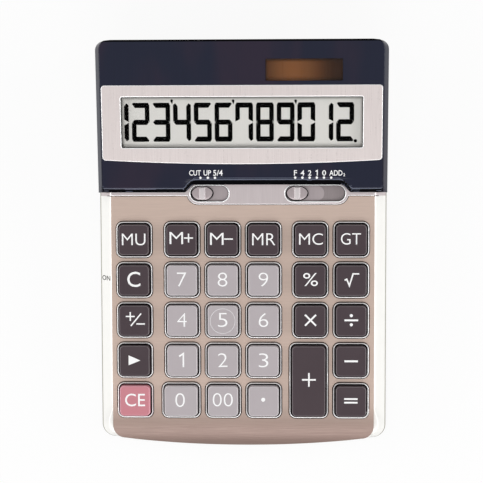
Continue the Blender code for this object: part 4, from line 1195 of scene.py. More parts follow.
def legends() -> dict[str, Legend]:
    """The legend of each key; outlines are in millimetres about the key's middle."""
    root = ribbon_outline(np.array([[-3.3, 0.2], [-2.3, 0.8], [-1.0, -2.4], [0.8, 3.4],
                                    [3.8, 3.4]]), 0.7)
    arrow = np.array([[-2.9, -2.1], [2.9, 0.3], [-2.9, 2.8]])
    figures = {f"key_{figure}": digit_legend(figure) for figure in "1234567890"}
    return figures | {
        "key_mu": Legend("MU", 11.6, 5.7, 0.1, 0.3, 0.006),
        "key_memory_add": Legend("M", 6.6, 5.9, -2.5, 1.0, 0.008,
                                 (cross((3.5, 1.0), 4.4, 0.64),)),
        "key_memory_subtract": Legend("M", 6.6, 5.9, -2.7, 0.6, 0.008,
                                      (bar((3.0, 0.5), 4.4, 0.62),)),
        "key_memory_recall": Legend("MR", 11.3, 5.8, 0.2, 0.4, 0.008),
        "key_memory_clear": Legend("MC", 11.6, 5.6, 0.3, 0.5, 0.007),
        "key_grand_total": Legend("GT", 9.7, 5.6, -0.3, 0.6, 0.007),
        "key_clear": Legend("C", 6.4, 7.5, 0.0, 0.6, -0.004),
        "key_percent": Legend("%", 7.2, 6.4, 0.1, 0.6, 0.002),
        "key_clear_entry": Legend("CE", 9.9, 6.3, 0.1, 0.5, 0.0),
        "key_00": Legend("00", 9.9, 6.6, -0.1, 0.8, 0.014),
        "key_point": Legend(shapes=(disc(1.0, (-0.2, 0.9)),)),
        "key_times": Legend(shapes=(cross((0.1, 0.5), 7.6, 0.85, math.pi / 4),)),
        "key_divide": Legend(shapes=(bar((0, 0.5), 6.7, 0.9), disc(0.78, (0, 2.8)),
                                     disc(0.78, (0, -1.7)))),
        "key_minus": Legend(shapes=(bar((0, 0.2), 6.6, 0.95),)),
        "key_plus": Legend(shapes=(cross((0.1, 0.9), 6.8, 0.8),)),
        "key_equals": Legend(shapes=(bar((-0.1, 1.4), 6.6, 0.85), bar((-0.1, -0.4), 6.6, 0.85))),
        "key_root": Legend(shapes=(root,)),
        "key_shift": Legend(shapes=(arrow,)),
        "key_sign": Legend(shapes=(cross((-1.9, 2.2), 4.4, 0.65),
                                   bar((0.9, 0.6), 8.0, 0.65, 0.88),
                                   bar((3.2, -1.5), 4.2, 0.65))),
    }


@dataclass
class Keypad:
    """The keys: places, soft-edged caps, legends and the raised rims round them."""

    rear_margin: float = 0.0155
    front_margin: float = 0.01495
    side_margin: float = 0.0099
    left_gap: float = 0.0035
    right_gap: float = 0.0029
    side_space: float = 0.0047
    end_space: float = 0.0043
    corner: float = 0.0020
    wide_extra: float = 0.0015
    trim: float = 0.0002
    well_gap: float = 0.0005
    rim_wall: float = 0.0007
    rim_rise: float = 0.0014
    groove: float = 0.0004
    cap_top: float = 0.0046
    cap_bottom: float = -0.0021
    cap_edge: float = 0.00055
    cap_lean: float = 0.00018
    dish: float = 0.00016
    flange: float = 0.0007
    flange_depth: float = 0.0008
    plunger: float = 0.0030
    plunger_depth: float = 0.0008
    bead_radius: float = 0.0061
    bead_half: float = 0.00022
    bead_rise: float = 0.00013
    ink_rise: float = 0.00008
    ink_sink: float = 0.00003
    columns: tuple = (
        ("key_mu", "key_clear", "key_sign", "key_shift", "key_clear_entry"),
        ("key_memory_add", "key_7", "key_4", "key_1", "key_0"),
        ("key_memory_subtract", "key_8", "key_5", "key_2", "key_00"),
        ("key_memory_recall", "key_9", "key_6", "key_3", "key_point"),
        ("key_memory_clear", "key_percent", "key_times", "key_plus"),
        ("key_grand_total", "key_root", "key_divide", "key_minus", "key_equals"))

    def places(self) -> dict[str, tuple[float, float, float, float]]:
        """Centre, half width and half depth of each key on the deck.

        The keys fill the deck between its margins, and two of the gaps between the
        columns are wider.
        """
        across = BODY.width - 2 * self.side_margin - self.left_gap - self.right_gap
        along = BODY.deck_rear + BODY.length / 2 - self.rear_margin - self.front_margin
        pitch_x = (across + self.side_space) / 6
        pitch_y = (along + self.end_space) / 5
        width, depth = pitch_x - self.side_space, pitch_y - self.end_space
        gaps = np.cumsum([0, self.left_gap, 0, 0, self.right_gap, 0])
        first = BODY.deck_rear - self.rear_margin - depth / 2
        places = {}
        for number, names in enumerate(self.columns):
            x = -BODY.half + self.side_margin + width / 2 + pitch_x * number + gaps[number]
            lower = 0
            for row, name in enumerate(names):
                wider = self.wide_extra if name in ("key_0", "key_plus") else 0.0
                taller = pitch_y if name == "key_plus" else 0.0
                places[name] = (x - wider / 2, first - pitch_y * (row + lower) - taller / 2,
                                (width + wider) / 2 - self.trim / 2,
                                (depth + taller) / 2 - self.trim)
                lower += 1 if taller else 0
        return places

    def loops(self, grow: float) -> list[np.ndarray]:
        """Rounded outlines round every key, grown on all sides."""
        return [rounded_loop(half_x + grow, half_y + grow, self.corner + grow, 6, 1, (x, y))
                for x, y, half_x, half_y in self.places().values()]

    def cap_height(self, half_x: float, half_y: float, points: np.ndarray) -> np.ndarray:
        """The dished top of a cap: lowest in its middle, rising with the square of the way out."""
        out = np.maximum(np.abs(points[:, 0]) / half_x, np.abs(points[:, 1]) / half_y)
        return self.cap_top - self.dish * (1 - np.clip(out, 0, 1) ** 2)

    def cap(self, half_x: float, half_y: float) -> Mesh:
        """One cap about its own middle: rounded rectangles carried down a profile.

        The profile runs from the middle of the dished top over a quarter-circle edge,
        down a slightly leaning side to the stop flange and the plunger under it.
        """
        edge, lean = self.cap_edge, self.cap_lean
        flat_x, flat_y = half_x - lean - edge, half_y - lean - edge
        rings = []
        for share in (0.03, 0.25, 0.45, 0.62, 0.76, 0.87, 0.95, 1.0):
            height = self.cap_top - self.dish * (1 - share ** 2)
            rings.append((flat_x * share, flat_y * share, (self.corner - edge) * share, height))
        for turn in np.linspace(0, math.pi / 2, 6)[1:]:
            out = edge * math.sin(turn)
            rings.append((flat_x + out, flat_y + out, self.corner - edge + out,
                          self.cap_top - edge * (1 - math.cos(turn))))
        low = self.cap_bottom
        rings += [(half_x, half_y, self.corner, level) for level in (self.rim_rise, low)]
        rings += [(half_x + self.flange, half_y + self.flange, self.corner, low),
                  (half_x + self.flange, half_y + self.flange, self.corner, low - self.flange_depth),
                  (self.plunger, self.plunger, 0.0006, low - self.flange_depth),
                  (self.plunger, self.plunger, 0.0006,
                   low - self.flange_depth - self.plunger_depth),
                  (0.0003, 0.0003, 0.0001, low - self.flange_depth - self.plunger_depth)]
        return loft(np.stack([ring(rounded_loop(ring_x, ring_y, max(radius, 1e-5)), height)
                              for ring_x, ring_y, radius, height in rings]))

    def finger_ring(self) -> Mesh:
        """The low round bead on the middle figure's cap."""
        level = self.cap_top - self.dish * 0.4
        rings = [ring(disc(self.bead_radius + self.bead_half * math.cos(turn), (0, 0), 72),
                      level + self.bead_rise * math.sin(turn))
                 for turn in np.linspace(0, 2 * math.pi, 10, endpoint=False)]
        return loft(np.stack(rings), closed_rings=True)

    def build(self) -> None:
        """All caps with their legends."""
        marks = legends()
        for name, (x, y, half_x, half_y) in self.places().items():
            light = name[4:].isdigit() or name == "key_point"
            colour = KeyColour.PINK if name == "key_clear_entry" else (
                KeyColour.LIGHT if light else KeyColour.DARK)
            # the bead on the middle figure takes the lighter edge colour, a painted highlight
            if name == "key_5":
                make("key_5_ring", DECK.lift(self.finger_ring(), (x, y, 0)), KEY_EDGE_HIGHLIGHTS[colour],
                     body=name)
            cap = DECK.lift(self.cap(half_x, half_y), (x, y, 0))
            make(f"{name}_cap", cap, colour.value, body=name,
                 # the caps' lower sides take painted shade, and their rounded edges a painted
                 # highlight
                 replaces=[name], angle=40, accents=[
                     Accent(KEY_EDGE_HIGHLIGHTS[colour], tilted(DECK, 0.35, 0.9)),
                     Accent(GAP_SHADE, self.is_foot)])
            points, faces = marks[name].mesh()
            top = self.cap_height(half_x - self.cap_edge, half_y - self.cap_edge, points)
            points = points * [1, 1, self.ink_rise] + [x, y, -self.ink_sink]
            points[:, 2] += top
            make(f"{name}_legend", (DECK.world(points), faces), WHITE_INK, body=name)

    def is_foot(self, centres: np.ndarray, normals: np.ndarray) -> np.ndarray:
        """Faces of a cap at the level of the rims or lower, which take the painted shade of the well.
        """
        origin = np.array([0.0, DECK.y, DECK.z])
        return (centres - origin) @ DECK.up < self.rim_rise - 0.0003

    def build_rims(self) -> None:
        """The raised rims: a rounded profile carried round every well, and a sheet of painted shade
        down the inside of each well.
        """
        rise, half = self.rim_rise, self.rim_wall / 2
        profile = [(half - half * math.cos(turn), rise - half + half * math.sin(turn))
                   for turn in np.linspace(0.0, math.pi, 13)]
        profile += [(2 * half, -0.0004), (0.0, -0.0004)]
        low, high = -0.0018, rise - half
        shade_profile = [(-0.00004, low), (-0.00004, high), (0.00006, rise - 0.00014),
                 (0.0001, rise - 0.00008), (0.00012, rise - 0.0002), (0.00004, low)]
        make("well_painted_shade", self.swept(shade_profile), GAP_SHADE, angle=40)
        # the rims' tops and their sides turned to the front and right take a painted highlight, as if
        # lit from the front right
        make("key_rims", self.swept(profile), RIM_METAL, angle=40,
             accents=[Accent(EDGE_HIGHLIGHT, lambda centres, normals: (
                 normals @ [0.5, -0.8, 0.45] > 0.1))])

    def swept(self, profile: Sequence[tuple[float, float]]) -> Mesh:
        """A profile of way out and height carried round every well."""
        return join([swept(
            lambda out: rounded_loop(half_x + self.well_gap + out, half_y + self.well_gap + out,
                                     self.corner + self.well_gap + out, 8, 2, (x, y)),
            profile, DECK) for x, y, half_x, half_y in self.places().values()])


# ---- Switch panel


@dataclass
class SwitchPanel:
    """Pale metal band that widens round two slots, with a sliding knob in each."""

    thickness: float = 0.0010
    inset: float = 0.00055
    band: float = 0.0018
    lap: float = 0.0078
    knob_length: float = 0.0110
    knob_depth: float = 0.0073
    knob_rise: float = 0.0007
    ridge_width: float = 0.0026
    ridge_rise: float = 0.0006
    rounding_travel: float = 0.0071
    decimal_travel: float = 0.0176
    slot_clearance: float = 0.0002
    slot_end: float = 0.0016
    slot_spacing: float = 0.0464
    rim: float = 0.0015
    setback: float = 0.0007
    side_margin: float = 0.01895
    stem_width: float = 0.0040
    stem_depth: float = 0.0030
    bevel: float = 0.00018
    leaf_half: float = 0.00365
    leaf_thickness: float = 0.0001

    @property
    def centre(self) -> float:
        """Way along the deck to the middle of the slots."""
        return BODY.deck_rear - self.setback

    @property
    def slot_half(self) -> float:
        """Half the depth of a slot."""
        return self.knob_depth / 2 + self.slot_clearance

    @property
    def right(self) -> float:
        """Right end of the wide part."""
        return BODY.half - self.side_margin

    def slots(self) -> dict[str, tuple[float, float]]:
        """Left end and knob travel of each slot."""
        length = self.knob_length + self.decimal_travel + 2 * BODY.fit
        decimal = self.right - self.slot_end - length
        return {"rounding_knob": (decimal - self.slot_spacing, self.rounding_travel),
                "decimal_knob": (decimal, self.decimal_travel)}

    @property
    def left(self) -> float:
        """Left end of the wide part."""
        return self.slots()["rounding_knob"][0] - self.slot_end

    def pill(self, left: float, right: float, half_depth: float) -> np.ndarray:
        """A long outline with round ends."""
        return rounded_loop((right - left) / 2, half_depth, half_depth * 0.9999, 16, 6,
                            ((left + right) / 2, self.centre))

    def slot_loops(self, grow: float = 0.0) -> list[np.ndarray]:
        """Outlines of the two slots, grown on all sides."""
        return [self.pill(left - grow, left + self.knob_length + travel + 2 * BODY.fit + grow,
                          self.slot_half + grow) for left, travel in self.slots().values()]

    def stem_loops(self) -> list[np.ndarray]:
        """Openings in the deck skin for the two stems."""
        loops = []
        for left, travel in self.slots().values():
            middle = left + BODY.fit + self.knob_length / 2
            loops.append(rounded_loop((self.stem_width + travel) / 2 + BODY.fit,
                                      self.stem_depth / 2 + BODY.fit, 0.0003, 3, 1,
                                      (middle + travel / 2, self.centre)))
        return loops

    def notch(self, edge: float, grow: float) -> np.ndarray:
        """The lower half of the wide part's outline below an edge, from right to left.

        Its round ends start where the quarter circle meets the edge.

        Args:
            edge: way along the deck of the edge that it starts and ends on.
            grow: how far outside the wide part it runs.

        Returns:
            Points of the open outline.
        """
        radius = self.slot_half + self.rim + grow
        start = math.asin((self.centre - edge) / radius)
        turn = np.linspace(start, math.pi / 2, 18)
        across = np.concatenate([self.right + grow - radius * (1 - np.cos(turn)),
                                 self.left - grow + radius * (1 - np.cos(turn[::-1]))])
        return np.column_stack([across, self.centre - radius * np.sin(
            np.concatenate([turn, turn[::-1]]))])

    def outline(self) -> np.ndarray:
        """Band and wide part as one outline."""
        half = BODY.half - BODY.flank_width - self.inset
        low, high = BODY.deck_rear - self.band, BODY.deck_rear + self.lap
        return np.vstack([[[half, high], [half, low]], self.notch(low, 0.0),
                          [[-half, low], [-half, high]]])

    def build(self) -> None:
        """The panel with its slots, their rims in painted highlight, and painted shade down the inside
        of the slots.
        """
        bottom, top = BODY.fit, BODY.fit + self.thickness
        plate = sheet([self.outline(), *self.slot_loops()], bottom, top, self.bevel)
        # the panel's bevelled edges take a painted highlight
        make("switch_panel", DECK.lift(plate), PANEL_METAL,
             replaces=["panel_trim"], angle=12,
             accents=[Accent(EDGE_HIGHLIGHT, tilted(DECK, 0.2, 0.97))])
        profile = [(0.00002, bottom), (0.00002, top + 0.00012), (0.00016, top + 0.00026),
                   (0.00036, top + 0.00026), (0.00056, top + 0.0001), (0.0006, bottom)]
        shade_profile = [(-0.00018, 0.0004), (-0.00018, top - 0.0001), (0.00001, top), (0.00001, 0.0004)]
        for name, section, finish in (("slot_rims", profile, EDGE_HIGHLIGHT),
                                      ("slot_painted_shade", shade_profile, GAP_SHADE)):
            walls = [swept(lambda out: self.slot_loops(out)[number], section, DECK)
                     for number in range(2)]
            make(name, join(walls), finish, angle=50)
        # the slot floors are darkened by painted shade
        floors = sheet([*self.slot_loops(0.0004), *self.stem_loops()], -0.00004, -0.00001)
        make("slot_floors", DECK.lift(floors), SLOT_FLOOR_SHADE, angle=12)

    def build_ends(self) -> None:
        """The band's ends: strips across the flanks, with painted shade along their front.

        Each is a grid whose height is the flank's, plus a little that fades at its borders.
        """
        shade_width, low, high = 0.00035, BODY.deck_rear - self.band, BODY.deck_rear - BODY.fit
        across = np.linspace(-BODY.half + 0.0004, -BODY.half + BODY.flank_width + 0.0006, 24)
        along = np.array([low - shade_width, low - shade_width + 0.00002, low - 0.00002, low, high - 0.00002, high])
        rise = np.array([-0.0003, 0.00003, 0.00003, 0.00012, 0.00012, -0.0003])
        flank = BODY.parting * ((across + BODY.half) / BODY.flank_width - 1)
        height = soft_min(np.zeros(1), flank, blend=CaseShell.crease)[:, None] + rise
        section = np.stack(np.broadcast_arrays(across[:, None], along[None], height), -1)
        section = np.concatenate([section, section[:, ::-1] - [0.0, 0.0, 0.0004]], 1)
        points, faces = loft(section)
        mesh = join([(points, faces), (points * [-1, 1, 1], [face[::-1] for face in faces])])
        edge = DECK.world(np.array([0.0, low, 0.0]))[1]
        make("band_ends", DECK.lift(mesh), PANEL_METAL,
             # faces in front of the band's edge take painted shade
             angle=50, accents=[Accent(GAP_SHADE, lambda centres, normals: centres[:, 1] < edge)])

    def knob(self) -> Mesh:
        """A knob about its own middle: an oval dome with a finger ridge across it.

        On a polar grid the height is a shallow dome, rise (1 - r^4), plus a ridge whose
        sides are smooth steps.
        """
        top = BODY.fit + self.thickness + self.knob_rise
        angle = np.linspace(0, 2 * math.pi, 96, endpoint=False)
        out = np.concatenate([[0.01], np.linspace(0.06, 0.92, 26), [0.955, 0.98, 0.995, 1.0]])
        x = self.knob_length / 2 * out[:, None] * np.cos(angle)
        y = self.knob_depth / 2 * out[:, None] * np.sin(angle)
        dome = top - 0.00045 * out[:, None] ** 4 * np.ones_like(x)
        ridge = 1 - np.clip((np.abs(x) - self.ridge_width / 2 + 0.0003) / 0.0005, 0, 1)
        ridge = ridge * ridge * (3 - 2 * ridge)
        ends = np.clip((self.knob_depth / 2 - 0.0003 - np.abs(y)) / 0.0006, 0, 1)
        upper = np.dstack([x, y, dome + self.ridge_rise * ridge * ends])
        rim = np.dstack([x[-1:], y[-1:], np.full((1, 96), BODY.fit)])
        low = np.dstack([x[:1], y[:1], np.full((1, 96), BODY.fit)])
        return loft(np.concatenate([upper, rim, low]))

    def build_knobs(self) -> None:
        """Both knobs, each with a leaf that rides under it and closes its slot, and under the decimal
        knob a shutter too.
        """
        for name, (left, travel) in self.slots().items():
            middle = np.array([left + BODY.fit + self.knob_length / 2, self.centre, 0.0])
            place = DECK.world(middle)
            # the ridge takes a painted highlight, and the knob's outer edge a ring of painted shade
            make(f"{name}_cap", DECK.lift(self.knob(), middle), KNOB_METAL, body=name,
                 replaces=[name], angle=60, accents=[Accent(
                     RIDGE_HIGHLIGHT, lambda centres, normals: (
                         np.abs(centres[:, 0] - place[0]) < self.ridge_width / 2 + 0.0001)),
                     Accent(GAP_SHADE, lambda centres, normals: np.hypot(
                         (centres[:, 0] - place[0]) / self.knob_length,
                         (centres[:, 1] - place[1]) / self.knob_depth) > 0.452)])
            leaves = [("leaf", 0.0132, 0.0036, 0.00016, LEAF_METAL)]
            if name == "decimal_knob":
                leaves.append(("shutter", 0.0202, 0.0012, 0.0, SLOT_FLOOR_SHADE))
            for part, reach, round_end, low, finish in leaves:
                loop = rounded_loop(reach, self.leaf_half, round_end, 14, 1)
                leaf = prisms([loop], low, low + self.leaf_thickness)
                make(f"{name}_{part}", DECK.lift(leaf, middle), finish, body=name)


# ---- Display end


@dataclass
class DisplayCover:
    """Dark glossy hood: sloping face, leaning sides, and a lip that steps over the switches."""

    lean: float = 0.00235
    lean_depth: float = 0.0045
    land: float = 0.0004
    rear_edge: float = 0.0008
    rear_land: float = 0.0008
    lip_width: float = 0.0018
    lip_depth: float = 0.0009
    lip_land: float = 0.0009
    lip_extra: float = 0.00065
    overlap: float = 0.0012
    shoulder: float = 0.0050
    ahead: float = 0.0010
    blend: float = 0.00022
    wall: float = 0.0012
    rings: int = 18
    front_points: int = 274

    def bump(self, x: np.ndarray, panel: SwitchPanel) -> np.ndarray:
        """Rise of the lower edge over the switch panel: at each shoulder a sine of a power."""
        rise = panel.centre + panel.slot_half + panel.rim + BODY.fit - BODY.deck_rear - self.overlap
        share = np.clip((np.minimum(x - panel.left, panel.right - x) + self.ahead)
                        / self.shoulder, 0, 1)
        return rise * np.sin(math.pi / 2 * share ** 1.25)

    def path(self, panel: SwitchPanel) -> tuple[np.ndarray, np.ndarray]:
        """The cover's edge in plan with its foot heights, anticlockwise from the front left.

        Args:
            panel: the switch panel that the lower edge steps over.

        Returns:
            Points in plan at the level of the face, and the foot's place below each.
        """
        half, radius, rear = BODY.half, BODY.rear_radius, BODY.length / 2
        x = np.concatenate([np.linspace(-half, -half + BODY.flank_width, 8)[:-1],
                            np.linspace(-half + BODY.flank_width, half - BODY.flank_width, 260),
                            np.linspace(half - BODY.flank_width, half, 8)[1:]])
        along = BODY.deck_rear + self.bump(x, panel)
        outside = np.clip((np.abs(x) - half + BODY.flank_width) / BODY.flank_width, 0, 1)
        foot_level = np.where(outside > 0, -BODY.parting * outside + 0.0004, 0.0016)
        foot_level = np.maximum(foot_level, -BODY.parting)
        front = DECK.world(np.column_stack([x, along, np.full(len(x), BODY.cover_step)]))
        front_foot = DECK.world(np.column_stack([x, along, foot_level]))
        start = front[-1, 1]
        turn = np.linspace(0, math.pi / 2, 15)
        side = np.column_stack([np.full(30, half), np.linspace(start, rear - radius, 31)[1:]])
        corner = np.column_stack([half - radius + radius * np.cos(turn[1:]),
                                  rear - radius + radius * np.sin(turn[1:])])
        back = np.column_stack([np.linspace(half - radius, radius - half, 41)[1:-1],
                                np.full(39, rear)])
        rest = np.vstack([side, corner, back, corner[::-1] * [-1, 1], side[::-1] * [-1, 1]])[:-1]
        rest_z = DECK.z + rest[:, 1] * math.tan(DECK.slope) - BODY.parting / math.cos(DECK.slope)
        foot = np.vstack([front_foot, np.column_stack([rest, rest_z])])
        return np.vstack([front[:, :2], rest]), foot

    def border(self, panel: SwitchPanel) -> tuple[np.ndarray, np.ndarray]:
        """The cover's border from its foot to the flat of its face.

        The height is the soft least of the face, of the leaning sides, of the rear edge
        and of the lip, each a plane that falls with the way out past its crease.

        Returns:
            Rings of points in body coordinates, and the inner loop on the face's plane.
        """
        path, foot = self.path(panel)
        half, rear = BODY.half, BODY.length / 2
        front = path[:, 1].min()
        q = np.clip((path[:, 1] - front) / (rear - front), 0, 1)
        reach_front = self.lip_width + self.lip_extra + self.lip_land
        reach_rear = self.rear_edge + self.rear_land
        edge = path[:self.front_points]
        ahead = reach_front ** 2 - (path[:, :1] - edge[:, 0]) ** 2
        beyond = np.where(ahead >= 0, edge[:, 1] + np.sqrt(np.maximum(ahead, 0)), -1).max(1)
        front_y = np.where(q < 0.2, beyond, path[:, 1] + reach_front)
        inner = np.column_stack([path[:, 0] * (half - self.lean - self.land) / half,
                                 front_y * (1 - q) + (path[:, 1] - reach_rear) * q])
        inner[:self.front_points, 1] = beyond[:self.front_points]
        steps = np.linspace(0, 1, self.rings)[:, None, None]
        place = path + steps * (inner - path)
        x, y = place[..., 0], place[..., 1]
        corner_in = np.clip((y - (rear - BODY.rear_radius)) / BODY.rear_radius, 0, 1)
        widest = half - BODY.rear_radius * (1 - np.sqrt(1 - corner_in ** 2))
        lean = -self.lean_depth * (np.abs(x) - widest + self.lean) / self.lean
        away = np.hypot(x[..., None] - edge[:, 0], y[..., None] - edge[:, 1]).min(-1)
        width = self.lip_width + self.lip_extra * self.bump(x, panel) / self.bump(np.zeros(1), panel)
        lip = self.lip_depth / self.lip_width * (away - width)
        back = -(self.rear_edge - (rear - y))
        drop = soft_min(np.zeros(1), lean, lip, back, blend=self.blend)
        drop[-1] = 0
        height = FACE.z + (y - FACE.y) * math.tan(FACE.slope) + drop / math.cos(FACE.slope)
        top = np.dstack([place, height])
        lower = np.stack([foot + (top[0] - foot) * share for share in (0.0, 0.02, 0.5, 0.98)])
        flat = np.column_stack([inner[:, 0], (inner[:, 1] - FACE.y) / math.cos(FACE.slope)])
        return np.concatenate([lower, top]), flat

    def build(self, panel: SwitchPanel, holes: list[np.ndarray]) -> None:
        """Border and face as one skin with a wall.

        Args:
            panel: the switch panel that the lower edge steps over.
            holes: outlines of the openings, in the face's own coordinates.
        """
        rings, flat = self.border(panel)
        border = (rings.reshape(-1, 3), grid_faces(len(rings), rings.shape[1]))
        face = FACE.lift(sheet([flat, *holes], 0.0, 0.0))
        make("cover_shell", join([border, face]), COVER,
             replaces=["display_cover"], closed=False, wall=self.wall, angle=24,
             accents=[Accent(LIP_SHADE, self.is_lip), Accent(CREASE_HIGHLIGHT, self.is_crease)])

    def is_lip(self, centres: np.ndarray, normals: np.ndarray) -> np.ndarray:
        """Faces of the lip and of the rear edge, which tilt away from the cover's face and take a
        near-black painted shade.
        """
        ends = (centres[:, 1] < FACE.y + 0.012) | (centres[:, 1] > BODY.length / 2 - 0.0015)
        return (normals @ FACE.up < 0.955) & ends & (np.abs(centres[:, 0]) < BODY.half - self.lean)

    def is_crease(self, centres: np.ndarray, normals: np.ndarray) -> np.ndarray:
        """Faces between the lip and the cover's face, which take a painted highlight."""
        tilt = normals @ FACE.up
        return ((tilt < 0.985) & (tilt >= 0.955) & (centres[:, 1] < FACE.y + 0.012)
                & (np.abs(centres[:, 0]) < BODY.half - self.lean - 0.0004))


@dataclass
class Display:
    """Silver frame round the display, its seven-bar figures and the solar opening."""

    side_margin: float = 0.00295
    lower: float = 0.0157
    rear_margin: float = 0.02015
    bow: float = 0.0019
    corner: float = 0.0016
    bezel_side: float = 0.0094
    bezel_lower: float = 0.0061
    bezel_upper: float = 0.0057
    window_corner: float = 0.0008
    pocket: float = 0.0007
    thickness: float = 0.0009
    solar_width: float = 0.0373
    solar_height: float = 0.0108
    solar_side: float = 0.0220
    solar_setoff: float = 0.0018
    panel_top: float = -0.0019
    ink_rise: float = 0.00006
    figure_rows: tuple = (142.0, 102.9)
    figure_pixels: float = 17.5
    first_column: float = 110.7
    column_pitch: float = 20.75
    last_shift: float = 2.6

    @property
    def upper(self) -> float:
        """Upper edge of the frame along the face."""
        return BODY.cover_setback - self.rear_margin

    def frame_loop(self, grow: float) -> np.ndarray:
        """The frame's outline grown on all sides; its lower side bows out as a parabola."""
        half = BODY.half - self.side_margin + grow
        middle = (self.upper + self.lower) / 2
        loop = rounded_loop(half, middle - self.lower + grow, self.corner + grow, 8, 24,
                            (0.0, middle))
        reach = half - self.corner - grow
        out = self.bow * (1 - np.clip(np.abs(loop[:, 0]) / reach, 0, 1) ** 2)
        return loop - np.column_stack([np.zeros(len(loop)), np.where(loop[:, 1] < middle, out, 0)])

    def window_loop(self, grow: float) -> np.ndarray:
        """The window's outline grown on all sides, with as many points as the frame's."""
        half = BODY.half - self.side_margin - self.bezel_side + grow
        low, high = self.lower + self.bezel_lower, self.upper - self.bezel_upper
        return rounded_loop(half, (high - low) / 2 + grow, self.window_corner + grow, 8, 24,
                            (0.0, (high + low) / 2))

    def solar_loop(self, grow: float) -> np.ndarray:
        """The solar opening's outline, grown on all sides."""
        centre = (BODY.half - self.solar_side - self.solar_width / 2,
                  self.upper + self.solar_setoff + self.solar_height / 2)
        return rounded_loop(self.solar_width / 2 + grow, self.solar_height / 2 + grow,
                            max(0.0008 + grow, 0.0002), 6, 1, centre)

    def build_frame(self) -> None:
        """The frame: a rounded profile carried from the outer outline to the window."""
        bottom = BODY.fit - self.pocket
        top = bottom + self.thickness
        outer = [(0.0, bottom), (0.0, top - 0.0003), (-0.0001, top - 0.0001), (-0.00032, top),
                 (-0.00042, top)]
        inner = [(0.0005, top), (0.0004, top), (0.00016, top - 0.00009), (0.0, top - 0.0003),
                 (0.0, bottom)]
        rings = [ring(self.frame_loop(grow), height) for grow, height in outer]
        rings += [ring(self.window_loop(grow), height) for grow, height in inner]
        mesh = loft(np.stack(rings), closed_rings=True)
        # the frame's rounded edges and walls take a painted highlight
        make("silver_frame", FACE.lift(mesh), FRAME_METAL,
             replaces=["display_frame"], angle=50,
             accents=[Accent(EDGE_HIGHLIGHT, tilted(FACE, -2.0, 0.97))])
        self.build_solar_wall_and_window_shadow()

    def build_solar_wall_and_window_shadow(self) -> None:
        """The inner wall of the solar opening, and a painted shadow line round the display window."""
        for name, outline, half, low, high, finish in (
                ("solar_gasket", self.solar_loop, 0.00016, -0.0016, -0.00045, COVER),
                ("window_shadow_line", self.window_loop, 0.00028, -0.00069, -0.00055, GAP_SHADE)):
            profile = ((0.0002, high), (0.0002, low), (-half, low), (-half, high))
            make(name, swept(outline, profile, FACE), finish, angle=50)

    def bars(self) -> dict[str, np.ndarray]:
        """The seven bars of a figure in a unit cell 1 wide and 2.3 high, with slanted ends."""
        height, thick, thin, cut, gap = 2.3, 0.30, 0.255, 0.16, 0.03
        half, end = height / 2, 1 - 0.03

        def level(y: float, up: float) -> np.ndarray:
            """A bar along an edge, its inner side shorter by the slanted ends."""
            return np.array([[gap + 0.05, y], [end - 0.05, y], [end, y + up * 0.08],
                             [end - cut, y + up * thick], [gap + cut, y + up * thick],
                             [gap, y + up * 0.08]])

        upper = np.array([[0, half + gap], [thin, half + 0.17], [thin, height - 0.22],
                          [thin * 0.5, height - 0.03], [0, height - 0.13]])
        lower = upper * [1, -1] + [0, height]
        middle = np.array([[gap, half], [gap + cut * 0.8, half - thick / 2],
                           [end - cut * 0.8, half - thick / 2], [end, half],
                           [end - cut * 0.8, half + thick / 2], [gap + cut * 0.8, half + thick / 2]])
        return {"a": level(height, -1), "b": upper * [-1, 1] + [1, 0],
                "c": lower * [-1, 1] + [1, 0], "d": level(0.0, 1), "e": lower, "f": upper,
                "g": middle}

    def figures(self) -> list[np.ndarray]:
        """Outlines of the figures 1 to 9, 0, 1 and 2 with their marks, on the face.

        The last two stand a little closer to the others.
        """
        lit = {"1": "bc", "2": "abged", "3": "abgcd", "4": "fgbc", "5": "afgcd", "6": "afgecd",
               "7": "fabc", "8": "abcdefg", "9": "abcdfg", "0": "abcdef"}
        bars = self.bars()
        low, high = (VIEW.point(VIEW.middle_pixel, row, FACE)[1] for row in self.figure_rows)
        scale = np.array([self.figure_pixels * VIEW.pixel, (high - low) / 2.3])
        loops = []
        for number, figure in enumerate("123456789012"):
            column = self.first_column + self.column_pitch * number
            column -= self.last_shift if number > 9 else 0.0
            corner = np.array([VIEW.point(column, 122.0, FACE)[0], low])
            loops += [bars[name] * scale + corner for name in lit[figure]]
        tail = np.array([[-0.0006, -0.0001], [0.0006, -0.0001], [0.0002, -0.0017]])
        for column in (171.3, 232.9, 295.6):
            spot = VIEW.point(column, 101.2, FACE)
            loops.append(np.vstack([disc(0.00068, spot, 16)[:9], tail[[0, 2, 1]] + spot]))
        loops.append(disc(0.0008, VIEW.point(355.5, 141.2, FACE), 16))
        return loops

    def build_figures(self) -> None:
        """The figures as thin dark inlays on the display panel."""
        mesh = lay_on(unit_prisms(self.figures()), self.panel_top, self.ink_rise, FACE)
        make("display_figures", mesh, SEGMENT_INK)


